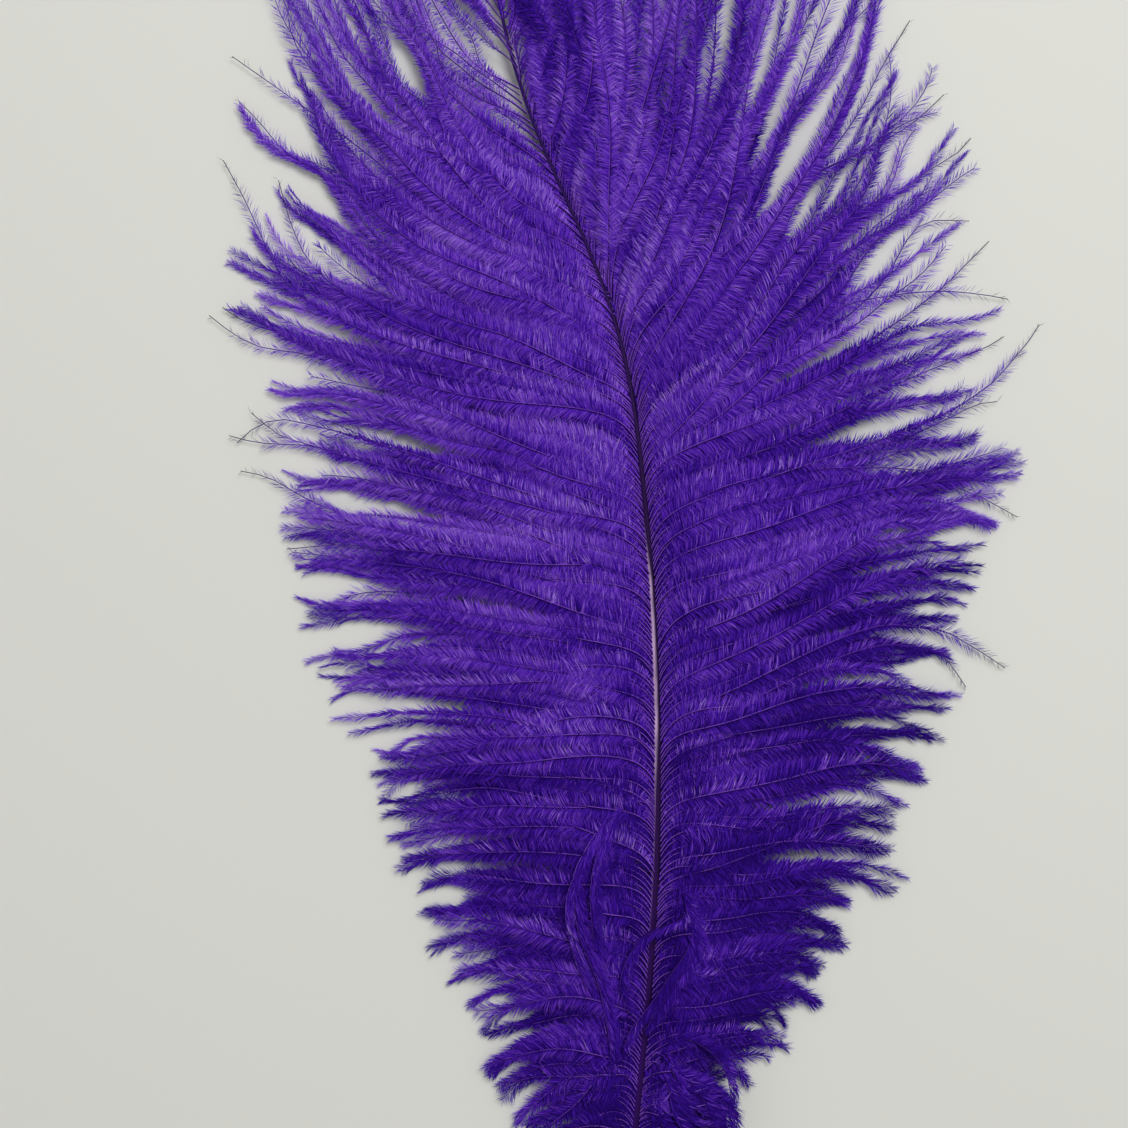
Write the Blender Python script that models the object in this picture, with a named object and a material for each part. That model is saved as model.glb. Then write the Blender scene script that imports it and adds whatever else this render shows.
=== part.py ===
"""A violet-dyed ostrich feather, lying flat: one shaft and the two vanes of locks that grow from it.

The feather lies along Y with its quill end at -Y and its tip at +Y, and rests on the plane z = 0.
X is across the feather, and Z is up. Sizes in the tables below are in millimetres.
"""
import math

import bmesh
import bpy
from mathutils import Vector
from mathutils.geometry import interpolate_bezier

MM = 0.001
GAP = 0.3  # between a vane and the shaft

# The shaft from the quill end to the tip: y, x, height of its axis, radius.
SHAFT = [
    (-205, -4.8, 1.25, 1.25),
    (-170, -0.5, 3.4, 1.5),
    (-139.5, 2.5, 5.2, 1.45),
    (-107.5, 5.8, 6.8, 1.4),
    (-70, 8.1, 8.0, 1.3),
    (-32.5, 8.1, 8.5, 1.15),
    (0, 6.6, 8.4, 1.0),
    (42.5, 2.4, 7.6, 0.8),
    (67.5, -3.6, 6.8, 0.65),
    (92.5, -14.8, 5.8, 0.55),
    (117.5, -25.8, 4.8, 0.5),
    (142.5, -31.6, 3.9, 0.45),
    (165, -36.2, 3.2, 0.4),
    (186, -38.6, 2.6, 0.35),
]
SHAFT_STEP = 12.0  # between two rings of the shaft
QUILL_ROUND = [(0.0, 0.35), (0.4, 0.72), (1.4, 0.95)]  # rounded quill end: distance in, share of the radius
PARTING = [(200, -38.0), (215, -37.0)]  # y, x of the line between the vanes past the shaft's tip

# The locks of each vane, from the tip down: y where the lock leaves the shaft, x and y of its own tip,
# and the direction in which it arrives there, in degrees from +X.
LEFT_LOCKS = [
    (179, -41, 205, 108),
    (168, -48, 204, 114),
    (156, -54, 202, 116),
    (143, -59, 198, 120),
    (130, -65, 193, 122),
    (118, -71, 186, 122),
    (106, -77, 176, 122),
    (95, -82, 164, 122),
    (84, -86, 149, 122),
    (75, -84, 126, 105),
    (66, -98, 128, 145),
    (58, -96, 117, 150),
    (50, -100, 102.5, 112),
    (44, -84, 97, 112),
    (38, -93.5, 86, 130),
    (31, -101, 79, 140),
    (24, -103.5, 64, 145),
    (16, -91, 46.5, 150),
    (8, -98.5, 33.5, 172),
    (1, -96, 24.5, 160),
    (-6, -86, 12, 178),
    (-13, -83.5, 2, 182),
    (-21, -82, -9, 188),
    (-30, -76, -21, 195),
    (-39, -72, -35, 200),
    (-49, -62, -47, 196),
    (-58, -61, -57, 190),
    (-67, -57, -68, 200),
    (-77, -52, -82, 205),
    (-87, -48.5, -96.5, 213),
    (-97, -40, -107, 218),
    (-108, -35, -120, 226),
    (-119, -30, -131, 232),
    (-130, -24, -142, 238),
    (-141, -19, -152, 240),
    (-151, -13, -160, 240),
]
RIGHT_LOCKS = [
    (180, -34, 205, 88),
    (169, -27, 205, 86),
    (155, -16, 205, 78),
    (141, -3, 205, 72),
    (128, 11, 204, 68),
    (116, 24, 202, 66),
    (105, 36, 198, 64),
    (95, 47, 192, 62),
    (85, 57, 183, 60),
    (75, 65, 171, 60),
    (66, 70, 157, 62),
    (58, 66, 143, 64),
    (50, 72, 137, 52),
    (43, 80, 118.5, 42),
    (36, 86.5, 107.5, 40),
    (30, 83, 90, 22),
    (25, 91, 82, 44),
    (19, 95.5, 67.5, -5),
    (12, 103.5, 61, 54),
    (5, 93, 42, 10),
    (-1, 97, 34, -5),
    (-7, 103, 25, 0),
    (-15, 98, 12, -22),
    (-22, 90.5, 1, -25),
    (-30, 85, -11, -25),
    (-38, 95, -24.5, -45),
    (-46, 84, -34, -48),
    (-54, 77.5, -44, -32),
    (-62, 76.5, -55, -38),
    (-71, 67.5, -66, -25),
    (-80, 71.5, -77, -42),
    (-90, 56, -89, -40),
    (-100, 49, -101, -48),
    (-110, 43, -112, -52),
    (-120, 36, -122, -58),
    (-131, 28, -134, -64),
    (-142, 20, -147, -70),
    (-152, 12, -158, -74),
]
# The angle between a lock and the shaft where it leaves it: y, degrees on the left, degrees on the right.
LEAVING = [(-150, 66, 64), (-75, 62, 52), (0, 50, 42), (60, 40, 34), (110, 33, 28), (170, 24, 20)]

ROOT_PULL = 0.32  # length of a lock's first handle, as a share of its span
TIP_PULL = 0.34  # the same for its last handle
LOCK_STEPS = 6  # rings along one lock, after the first
OVERLAP = 1.35  # a lock's width over its distance from the next one
WIDEST_AT = 0.4  # share of the length where a lock is widest
ROOT_WIDTH = 0.8  # share of the full width
TIP_WIDTH = 0.1
THICKNESS = 0.18  # of a lock, as a share of its width
TOP_SHARE = 0.45  # width of a lock's flat top over that of its underside
ARCH = 2.0  # rise of a lock between the shaft and the place where it droops
DROOP = (0.12, 0.66)  # shares of the length between which a lock comes down to the surface
LAYERS = [0.0, 0.9, 0.3, 1.2, 0.6]  # height of the locks' undersides at their tips, in turn
ROOT_DROP = 0.8  # from the shaft's axis down to a lock's underside at the root

SIDE_REACH = 200.0  # the trimming blocks are larger than the vane
BLOCK_HEIGHT = 40.0


def clear_scene():
    for old in list(bpy.data.objects):
        bpy.data.objects.remove(old, do_unlink=True)


def collection(name):
    made = bpy.data.collections.new(name)
    bpy.context.scene.collection.children.link(made)
    return made


def smooth(low, high, value):
    """0 below low, 1 above high, and an even S between them."""
    share = min(max((value - low) / (high - low), 0.0), 1.0)
    return share * share * (3 - 2 * share)


def between(rows, value, column):
    """Reads one column of a table with a smooth cubic through its rows."""
    rows = sorted(rows)
    value = min(max(value, rows[0][0]), rows[-1][0])
    place = next(i for i in range(len(rows) - 1) if value <= rows[i + 1][0])
    before, low = rows[max(place - 1, 0)], rows[place]
    high, after = rows[place + 1], rows[min(place + 2, len(rows) - 1)]
    span = high[0] - low[0]
    rise_low = (high[column] - before[column]) / (high[0] - before[0]) * span
    rise_high = (after[column] - low[column]) / (after[0] - low[0]) * span
    share = (value - low[0]) / span
    curve = low[column] * (2 * share**3 - 3 * share**2 + 1)
    curve += rise_low * (share**3 - 2 * share**2 + share)
    curve += high[column] * (3 * share**2 - 2 * share**3)
    return curve + rise_high * (share**3 - share**2)


def straight_between(rows, value, column):
    """Reads one column of a table with straight lines between its rows."""
    value = min(max(value, rows[0][0]), rows[-1][0])
    place = next(i for i in range(len(rows) - 1) if value <= rows[i + 1][0])
    low, high = rows[place], rows[place + 1]
    share = (value - low[0]) / (high[0] - low[0])
    return low[column] + share * (high[column] - low[column])


def shaft_x(y):
    if y <= SHAFT[-1][0]:
        return between(SHAFT, y, 1)
    return straight_between([SHAFT[-1][:2]] + PARTING, y, 1)


def shaft_heading(y):
    """Direction of the shaft towards the tip, in degrees from +X."""
    return math.degrees(math.atan2(2.0, shaft_x(y + 1) - shaft_x(y - 1)))


def material(name, colour, roughness):
    made = bpy.data.materials.new(name)
    made.use_nodes = True
    shader = made.node_tree.nodes["Principled BSDF"]
    shader.inputs["Base Color"].default_value = (*colour, 1)
    shader.inputs["Roughness"].default_value = roughness
    shader.inputs["Metallic"].default_value = 0
    return made


def poly_curve(name, points, radii):
    """A 3D curve with straight spans through points given in millimetres."""
    line = bpy.data.curves.new(name, "CURVE")
    line.dimensions = "3D"
    line.twist_mode = "Z_UP"
    line.use_fill_caps = True
    spline = line.splines.new("POLY")
    spline.points.add(len(points) - 1)
    for knot, point, radius in zip(spline.points, points, radii):
        knot.co = (*(Vector(point) * MM), 1)
        knot.radius = radius
    return line


def flat_curve(name, corners):
    """A closed flat outline through corners given in millimetres."""
    line = bpy.data.curves.new(name, "CURVE")
    line.dimensions = "2D"
    line.fill_mode = "BOTH"
    spline = line.splines.new("POLY")
    spline.points.add(len(corners) - 1)
    for knot, (x, y) in zip(spline.points, corners):
        knot.co = (x * MM, y * MM, 0, 1)
    spline.use_cyclic_u = True
    return line


def solid_from_curve(name, line, place):
    """Turns a curve into a closed mesh object and removes the curve."""
    drawn = bpy.data.objects.new(name + "_line", line)
    place.objects.link(drawn)
    bpy.context.view_layer.update()
    drawn_now = drawn.evaluated_get(bpy.context.evaluated_depsgraph_get())
    mesh = bpy.data.meshes.new_from_object(drawn_now)
    mesh.name = name
    shape = bmesh.new()
    shape.from_mesh(mesh)
    bmesh.ops.remove_doubles(shape, verts=shape.verts, dist=0.00001)
    bmesh.ops.recalc_face_normals(shape, faces=shape.faces)
    bmesh.ops.triangulate(shape, faces=shape.faces)
    shape.to_mesh(mesh)
    shape.free()
    made = bpy.data.objects.new(name, mesh)
    made.matrix_world = drawn.matrix_world
    place.objects.link(made)
    bpy.data.objects.remove(drawn, do_unlink=True)
    return made


def hide_helper(helper):
    helper.hide_render = True
    helper.display_type = "WIRE"


def make_shaft(parts):
    """The quill and rachis in one: a round tapered rod with a rounded quill end."""
    start, end = SHAFT[0][0], SHAFT[-1][0]
    stations = [(start + inward, share) for inward, share in QUILL_ROUND]
    count = round((end - stations[-1][0]) / SHAFT_STEP)
    first = stations[-1][0]
    stations += [(first + (end - first) * (i + 1) / count, 1.0) for i in range(count)]
    points = [(shaft_x(y), y, between(SHAFT, y, 2)) for y, _ in stations]
    radii = [between(SHAFT, y, 3) * share for y, share in stations]
    line = poly_curve("shaft", points, radii)
    line.bevel_depth = MM
    line.bevel_resolution = 2
    shaft = solid_from_curve("shaft", line, parts)
    shaft.data.materials.append(material("dyed_quill", (0.055, 0.016, 0.16), 0.3))
    shaft.data.shade_smooth()
    return shaft


def lock_plan(row, side):
    """The centre line of one lock seen from above: it leaves the shaft and sweeps out to its tip."""
    root_y, tip_x, tip_y, arriving = row
    root = Vector((shaft_x(root_y), root_y, 0))
    tip = Vector((tip_x, tip_y, 0))
    turn = straight_between(LEAVING, root_y, 1 if side < 0 else 2)
    leaving = math.radians(shaft_heading(root_y) - side * turn)
    arriving = math.radians(arriving)
    span = (tip - root).length
    root_handle = root + ROOT_PULL * span * Vector((math.cos(leaving), math.sin(leaving), 0))
    tip_handle = tip - TIP_PULL * span * Vector((math.cos(arriving), math.sin(arriving), 0))
    return interpolate_bezier(root, root_handle, tip_handle, tip, LOCK_STEPS + 1)


def lock_height(share, root_height, layer):
    """Height of a lock's underside at a share of its length."""
    fall = smooth(*DROOP, share)
    return (1 - fall) * (root_height + ARCH * math.sin(math.pi * share)) + fall * layer


def lock_width(share):
    if share < WIDEST_AT:
        return ROOT_WIDTH + (1 - ROOT_WIDTH) * smooth(0, WIDEST_AT, share)
    taper = ((share - WIDEST_AT) / (1 - WIDEST_AT)) ** 1.7
    return 1 - (1 - TIP_WIDTH) * taper


def lock_section(width, helpers):
    """Outline of a lock cut across: a flat underside, and a top that falls away to thin sides."""
    half = width / 2
    corners = [(-half, 0), (-TOP_SHARE * half, THICKNESS * width), (TOP_SHARE * half, THICKNESS * width), (half, 0)]
    section = bpy.data.objects.new("lock_section", flat_curve("lock_section", corners))
    helpers.objects.link(section)
    return section


def make_lock(name, row, side, layer, width, helpers):
    plan = lock_plan(row, side)
    shares = [step / LOCK_STEPS for step in range(LOCK_STEPS + 1)]
    root_height = between(SHAFT, row[0], 2) - ROOT_DROP
    heights = [lock_height(share, root_height, layer) for share in shares]
    points = [(at.x, at.y, height) for at, height in zip(plan, heights)]
    line = poly_curve(name, points, [lock_width(share) for share in shares])
    line.bevel_mode = "OBJECT"
    line.bevel_object = lock_section(width, helpers)
    return solid_from_curve(name, line, helpers)


def lock_widths(rows, side):
    """Each lock is a little wider than the distance to its neighbours, so that they overlap."""
    middles = [lock_plan(row, side)[LOCK_STEPS // 2] for row in rows]
    pitches = [(low - high).length for high, low in zip(middles, middles[1:])]
    nearest = [pitches[0]] + pitches + [pitches[-1]]
    return [OVERLAP * max(nearest[i], nearest[i + 1]) for i in range(len(rows))]


def shaft_block(name, side, helpers):
    """A tall block over the shaft and everything on its other side, which trims a vane's roots."""
    ys = [-SIDE_REACH - 20, -205, *range(-195, 205, 10), 215]
    edge = []
    for y in ys:
        half = between(SHAFT, y, 3) if y <= SHAFT[-1][0] else 0.0
        edge.append((shaft_x(y) + side * (half + GAP), y))
    away = -side * SIDE_REACH
    block = flat_curve(name, edge + [(away, ys[-1]), (away, ys[0])])
    block.extrude = BLOCK_HEIGHT / 2 * MM
    made = solid_from_curve(name, block, helpers)
    hide_helper(made)
    return made


def keep_largest_body(mesh):
    """Drops the slivers of a few faces that a cut leaves loose beside the solid."""
    shape = bmesh.new()
    shape.from_mesh(mesh)
    waiting = set(shape.faces)
    bodies = []
    while waiting:
        found = [waiting.pop()]
        for face in found:
            beside = {near for edge in face.edges for near in edge.link_faces} & waiting
            waiting -= beside
            found.extend(beside)
        bodies.append(found)
    bodies.sort(key=len)
    loose = [face for body in bodies[:-1] for face in body]
    bmesh.ops.delete(shape, geom=loose, context="FACES")
    shape.to_mesh(mesh)
    shape.free()


def combine(target, operation, others):
    """Joins or cuts a solid with a collection of solids, exactly."""
    step = target.modifiers.new(operation.lower(), "BOOLEAN")
    step.operation = operation
    step.solver = "EXACT"
    step.operand_type = "COLLECTION"
    step.collection = others
    bpy.context.view_layer.update()
    target_now = target.evaluated_get(bpy.context.evaluated_depsgraph_get())
    mesh = bpy.data.meshes.new_from_object(target_now)
    target.modifiers.clear()
    target.data = mesh
    keep_largest_body(mesh)


def make_vane(name, rows, side, parts, helpers):
    """One vane: its locks, fused where they overlap, and trimmed along the shaft."""
    locks = collection(name + "_locks")
    block = collection(name + "_block")
    widths = lock_widths(rows, side)
    solids = []
    for place, row in enumerate(rows):
        layer = LAYERS[place % len(LAYERS)]
        solids.append(make_lock(f"{name}_lock_{place}", row, side, layer, widths[place], helpers))
    for solid in solids:
        helpers.objects.unlink(solid)
        locks.objects.link(solid)
        hide_helper(solid)
    first = solids[0]
    vane = bpy.data.objects.new(name, first.data.copy())
    parts.objects.link(vane)
    locks.objects.unlink(first)
    bpy.data.objects.remove(first, do_unlink=True)
    combine(vane, "UNION", locks)
    trim = shaft_block(name + "_trim", side, helpers)
    helpers.objects.unlink(trim)
    block.objects.link(trim)
    combine(vane, "DIFFERENCE", block)
    vane.data.materials.clear()
    vane.data.materials.append(material(name + "_barbs", (0.1, 0.025, 0.36), 0.6))
    return vane


def main():
    clear_scene()
    parts = collection("ostrich_feather")
    helpers = collection("helpers")
    make_shaft(parts)
    make_vane("left_vane", LEFT_LOCKS, -1, parts, helpers)
    make_vane("right_vane", RIGHT_LOCKS, 1, parts, helpers)
    for helper in helpers.objects:
        hide_helper(helper)


main()
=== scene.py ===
# %% [markdown]
# # A violet ostrich plume
#
# This lesson dresses a bare model of a dyed ostrich plume, a shaft with two solid vanes, with the
# hundreds of barbs and the many thousands of barbules that make the real thing soft. The solids
# set its size and its place, and this script only adds the looks.

# %% Load the frame and keep its box
import math

import bpy
import numpy as np
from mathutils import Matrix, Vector, noise


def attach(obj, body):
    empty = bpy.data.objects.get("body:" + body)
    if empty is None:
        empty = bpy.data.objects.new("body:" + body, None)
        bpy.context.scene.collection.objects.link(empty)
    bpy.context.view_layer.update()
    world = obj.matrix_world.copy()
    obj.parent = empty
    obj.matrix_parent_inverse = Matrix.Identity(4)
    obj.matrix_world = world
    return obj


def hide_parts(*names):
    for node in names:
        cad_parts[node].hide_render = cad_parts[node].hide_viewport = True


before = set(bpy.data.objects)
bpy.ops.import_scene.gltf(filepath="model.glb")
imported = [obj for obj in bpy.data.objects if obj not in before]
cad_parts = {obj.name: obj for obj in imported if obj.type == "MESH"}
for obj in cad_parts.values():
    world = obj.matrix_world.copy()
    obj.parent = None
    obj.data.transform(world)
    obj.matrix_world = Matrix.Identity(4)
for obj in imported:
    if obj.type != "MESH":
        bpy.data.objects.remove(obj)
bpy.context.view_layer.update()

# %% [markdown]
# ## Units, colours and nodes
#
# Feathers are measured in millimetres and Blender works in metres, so every length below is
# written in millimetres and multiplied once. Colours are written as the sRGB hex values that a dyer
# would match, and one function turns them into the linear light that a shader wants. Node trees
# could be drawn by hand, but a tree that the script builds can be read and repeated, so one small
# function adds a node with its settings and links, for geometry and for materials alike.

# %% Helpers
MM = 0.001  # metres in a millimetre
SEED = 29  # of every random draw


def linear(hex_colour):
    """An sRGB hex colour as linear RGBA."""
    parts = [int(hex_colour[i:i + 2], 16) / 255 for i in (1, 3, 5)]
    light = [c / 12.92 if c <= 0.04045 else ((c + 0.055) / 1.055) ** 2.4 for c in parts]
    return (*light, 1.0)


def add(tree, kind, links=None, stops=(), **settings):
    """A new node. Settings are its properties, and stops are the places and colours of its ramp;
    links fill its inputs with values, sockets or nodes."""
    made = tree.nodes.new(kind)
    for name, value in settings.items():
        setattr(made, name, value)
    if stops:
        ramp = made.color_ramp.elements
        while len(ramp) < len(stops):
            ramp.new(0.5)
        for element, (position, colour) in zip(ramp, stops):
            element.position = position
            element.color = colour
    for key, source in (links or {}).items():
        if isinstance(source, bpy.types.Node):
            source = source.outputs[0]
        if isinstance(source, bpy.types.NodeSocket):
            tree.links.new(source, made.inputs[key])
        else:
            made.inputs[key].default_value = source
    return made


def smooth(low, high, value):
    """0 below low, 1 above high, and an even S between them."""
    share = np.clip((np.asarray(value, float) - low) / (high - low), 0, 1)
    return share * share * (3 - 2 * share)


def put_in_scene(name, data):
    made = bpy.data.objects.new(name, data)
    bpy.context.scene.collection.objects.link(made)
    return made


print("mid violet in linear light:", [round(part, 3) for part in linear("#783AD6")[:3]])

# %% [markdown]
# ## The plume's plan
#
# Barbs on a plume don't end one by one. Their barbules catch on each other, so that three or four
# neighbours lean together into a tuft with one point, and the tufts' points make the outline. A
# formula could draw an even outline, but no real plume has one, so the tables below give the
# shaft's line, and for each tuft its place on the shaft, its point and the direction in which its
# barbs arrive there. One more lists the gaps through which what lies beneath shows. The solids'
# locks end where the tufts do, so the soft plume still fits the plain one.

# %% The shaft and the tufts, in millimetres
# y, x, height of the axis, radius
SHAFT = [
    (-205, -4.8, 1.25, 1.25), (-170, -0.5, 3.4, 1.5), (-139.5, 2.5, 5.2, 1.45),
    (-107.5, 5.8, 6.8, 1.4), (-70, 8.1, 8.0, 1.3), (-32.5, 8.1, 8.5, 1.15),
    (0, 6.6, 8.4, 1.0), (42.5, 2.4, 7.6, 0.8), (67.5, -3.6, 6.8, 0.65),
    (92.5, -14.8, 5.8, 0.55), (117.5, -25.8, 4.8, 0.5), (142.5, -31.6, 3.9, 0.45),
    (165, -36.2, 3.2, 0.4), (186, -38.6, 2.6, 0.35),
]
# y on the shaft, x and y of the tuft's point, direction there in degrees from +X
LEFT_TUFTS = [
    (-143.5, -13, -159, 242), (-141, -15, -156, 237), (-138.5, -18, -153, 240),
    (-135, -20, -148, 243), (-133.5, -22, -147, 239), (-128, -24, -140, 237),
    (-126, -27, -138, 236), (-122.5, -29, -134, 234), (-121, -30, -132, 232),
    (-119, -31, -130, 231), (-116.5, -33, -127, 230), (-114.5, -34, -125, 228),
    (-109.5, -34, -117, 225), (-108, -36, -115, 223), (-104, -39, -108, 218),
    (-99.5, -44, -102, 216), (-95.5, -48, -96, 213), (-84.5, -50, -85, 207), (-80.5, -46, -82, 206),
    (-79.5, -52, -81, 205), (-72.5, -56, -74, 202), (-68, -58, -68, 200), (-66.5, -59, -66, 198),
    (-62, -59, -61, 194), (-60.5, -62, -59, 192), (-58.5, -61, -57, 190), (-56, -62, -54, 192),
    (-54.5, -62, -52, 193), (-51.5, -61, -48, 195), (-50, -62, -46, 196), (-46, -70, -41, 199),
    (-43.5, -72, -38, 199), (-40, -73, -34, 215), (-34.5, -72, -28, 198), (-33, -78, -26, 196),
    (-30, -79, -23, 195), (-28, -75, -21, 195), (-26, -76, -19, 194), (-22, -81, -14, 191),
    (-20, -82, -11, 189), (-18, -82, -8, 187), (-12, -82, 0, 183), (-10.5, -84, 2, 182),
    (-6.5, -85, 8, 180), (-0.5, -86, 16, 172), (6, -85, 24, 165), (13, -79, 31, 167),
    (21, -85, 41, 174), (22, -86, 42, 177), (25, -91, 47, 171), (35, -100, 66, 148),
    (36.5, -94, 68, 146), (37.5, -94, 70, 143), (40.5, -100, 79, 134), (41.5, -100, 82, 135),
    (43.5, -94, 86, 117), (45, -87, 86, 120), (50, -83, 97, 117), (51, -78, 95, 109),
    (52.5, -86, 97, 106), (54, -83, 105, 117), (59.5, -96, 117, 135), (61, -87, 119, 128),
    (62, -80, 119, 115), (66, -83, 125, 101), (69.5, -78, 128, 101), (71, -82, 128, 99),
    (77, -86, 149, 122), (84, -80, 153, 117), (92, -82, 164, 122), (100, -71, 165, 120),
    (106, -77, 176, 122), (110, -68, 176, 126), (114, -69, 180, 121), (118, -71, 186, 122),
    (122, -67, 188, 117), (126, -65, 189, 122), (130, -65, 193, 122), (134, -60, 194, 118),
    (139, -58, 195, 118), (143, -59, 198, 120), (147, -54, 197, 119), (152, -51, 196, 114),
    (156, -54, 202, 116), (160, -47, 199, 113), (164, -48, 201, 117), (168, -48, 204, 114),
    (174, -39, 204, 117), (179, -41, 205, 108),
]
RIGHT_TUFTS = [
    (-146.5, 11, -157, -76), (-142.5, 16, -152, -73), (-138, 18, -146, -68), (-137, 22, -145, -69),
    (-132, 24, -138, -66), (-129, 26, -134, -64), (-124, 30, -128, -61), (-119, 35, -122, -55),
    (-117.5, 40, -120, -56), (-113, 38, -115, -55), (-111, 40, -113, -53), (-106.5, 48, -109, -50),
    (-98.5, 49, -101, -48), (-91, 54, -94, -26), (-86, 55, -90, -25), (-80.5, 56, -84, -24),
    (-78.5, 58, -82, -25), (-77, 68, -80, -25), (-73.5, 72, -76, -3), (-68, 66, -70, -17),
    (-64.5, 67, -65, -15), (-60.5, 72, -59, -19), (-57, 77, -54, -23), (-53.5, 76, -50, -21),
    (-46, 78, -42, -21), (-41, 83, -35, -28), (-38.5, 84, -32, -29), (-32.5, 81, -23, -25),
    (-26.5, 84, -13, -16), (-24, 85, -9, -15), (-22.5, 89, -6, -27), (-19.5, 90, -1, -19),
    (-15, 90, 5, -18), (-11, 93, 10, -21), (5.5, 103, 26, -4), (10, 101, 31, 24),
    (11.5, 97, 34, 23), (13, 89, 35, 18), (16.5, 87, 45, 14), (22, 90, 59, 22), (23.5, 89, 63, 19),
    (24.7, 94, 66, 20), (27, 87, 78, 24), (29.5, 86, 87, 27), (32, 88, 104, 36), (34, 79, 110, 50),
    (36, 83, 112, 49), (38, 71, 116, 55), (39.5, 69, 128, 62), (41, 64, 142, 76),
    (42.5, 62, 146, 76), (44, 70, 157, 70), (46, 65, 159, 70), (48, 65, 171, 74), (50, 60, 175, 76),
    (52, 57, 183, 78), (54, 51, 185, 80), (56, 47, 192, 82), (58.5, 40, 190, 84), (61, 33, 198, 86),
    (63.5, 28, 195, 88), (66, 24, 202, 90), (68.5, 19, 198, 92), (71, 14, 198, 93),
    (74, 11, 204, 94), (77, 7, 199, 95), (81, 2, 202, 96), (85, -3, 205, 97), (90, -6, 201, 97),
    (95, -11, 203, 98), (100, -16, 205, 99), (106, -19, 204, 100), (114, -20, 201, 100),
    (124, -27, 205, 102), (138, -28, 205, 102), (158, -34, 205, 102),
]
LEFT, RIGHT = -1, 1
TUFTS = {LEFT: np.array(LEFT_TUFTS, float), RIGHT: np.array(RIGHT_TUFTS, float)}
# y on the shaft, angle between a barb and the shaft on the left, and on the right
LEAVING = np.array([
    (-150, 92, 96), (-110, 88, 94), (-75, 84, 88), (-60, 80, 78), (-30, 78, 69), (0, 73, 68),
    (30, 66, 62), (45, 62, 54), (60, 58, 50), (75, 58, 54), (90, 58, 56), (105, 54, 52),
    (120, 34, 36), (140, 28, 28), (170, 24, 22),
], float)
SHAFT = np.array(SHAFT, float)
print("tufts:", len(LEFT_TUFTS), "on the left,", len(RIGHT_TUFTS), "on the right")

# %% The gaps between locks, where the table shows
# x, y, half length, half width, direction in degrees
GAPS = np.array([
    (52, 95, 16, 3.2, 36), (46, 109.5, 17, 2.8, 45), (-84, 111, 11, 3.9, 124),
    (69, 100.5, 8, 5, 35), (-55, 126, 11, 2.7, 128), (-76, 94.5, 10, 3.3, 132),
    (57, 106.5, 9, 3.8, 40), (-66.5, -17, 9, 2.7, 0), (53, 128, 14, 1.9, 47),
    (76, -26, 6.5, 3, 153), (-79.5, 28, 6, 3.4, 170), (64, 64.5, 9, 1.8, 14),
    (-74, -3.5, 5.5, 3.1, 175), (-61.5, 83.5, 8, 2.2, 145), (-73.5, 39, 7, 1.3, 174),
    (62, 77, 6, 2.2, 36), (-82.5, 50, 4.5, 2.8, 172), (83, 9, 4, 3.2, 160),
    (-44.5, -81.5, 9, 1.7, 16), (65.5, 9.5, 5, 2.4, 2), (83, 55.5, 8, 1.9, 14),
    (-64.5, 120, 8, 1.8, 121), (-78, 4, 4, 2.8, 179), (79.5, 46, 4, 2.7, 19),
    (-54, -44, 6, 1.8, 1), (-90, 57.5, 5, 1.8, 161), (-65.5, -34.5, 4, 2.4, 3),
    (38.5, 95.5, 6.5, 1.8, 30), (-80.5, 86, 7.5, 1.4, 112), (82.5, 64.5, 5, 3, 9),
    (-69, -24, 5.5, 1.6, 173), (-55, -55, 4.5, 1.7, 1), (-86.5, 86, 5, 2.2, 8),
    (-48, 131.5, 7, 1, 118), (-31, 127, 11, 1.4, 112), (24.5, -125, 3.7, 1.9, 153),
    (14.7, 132.5, 8, 1.3, 95), (28.5, 119, 3, 2, 60), (36, 130, 7, 1.2, 72),
    (-54.8, 136.5, 4, 1.3, 125), (-45, 129, 9, 1.8, 122), (-38, 130.5, 9, 1.4, 131),
    (-39, 138.8, 4, 1.2, 122), (7.7, 119, 5, 1.1, 95), (-24, 131, 4, 1.1, 85),
    (-2, 141, 6, 1.4, 92), (9, 141, 5, 1.2, 92), (24, 84, 6, 1.3, 50),
    (-54.7, 113, 7.5, 1.9, 125), (-59.8, 103, 6.5, 1.5, 133), (-42, 114, 4, 1.1, 130),
    (62.5, 28.7, 6, 1.3, 170), (71, 25.5, 5, 1.6, 5), (-74.7, 74.7, 4.5, 1.1, 150),
    (41, 136.5, 7, 1.3, 68), (-49, 139, 5, 1.3, 122),
])
print("gaps:", len(GAPS), "from", 2 * GAPS[:, 3].min(), "to", 2 * GAPS[:, 3].max(), "mm wide")


# %% Places and directions on the shaft
def shaft_at(y):
    """x, y and height of the shaft's axis, and its radius there."""
    x, height, radius = (np.interp(y, SHAFT[:, 0], SHAFT[:, i]) for i in (1, 2, 3))
    return np.array([x, y, height]), float(radius)


def heading(degrees):
    return np.array([math.cos(math.radians(degrees)), math.sin(math.radians(degrees))])


def shaft_heading(y):
    """Direction of the shaft towards the tip, in degrees from +X."""
    step = shaft_at(y + 3)[0] - shaft_at(y - 3)[0]
    return math.degrees(math.atan2(step[1], step[0]))


print("the shaft heads for", round(shaft_heading(0)), "degrees at its middle,",
      round(shaft_heading(120)), "in the crown")

# %% [markdown]
# ## One barb's line
#
# A barb leaves the shaft almost along it, hooks outwards within a few millimetres, then sweeps out
# and droops. It could be combed as hair, but what leaves Blender has to be real triangles, and
# there are too many barbs to draw each by hand. So a formula draws them: a cubic curve with a
# handle at the shaft and a handle at the tip gives the sweep, a short fading push towards the base
# the hook, and a slow random wave keeps two neighbours from being copies. In the crown barbs turn
# up sooner and lie almost flat. Where a gap is listed, the line bends round it. The points lie
# closer together near the shaft, where the line turns most.

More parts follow.
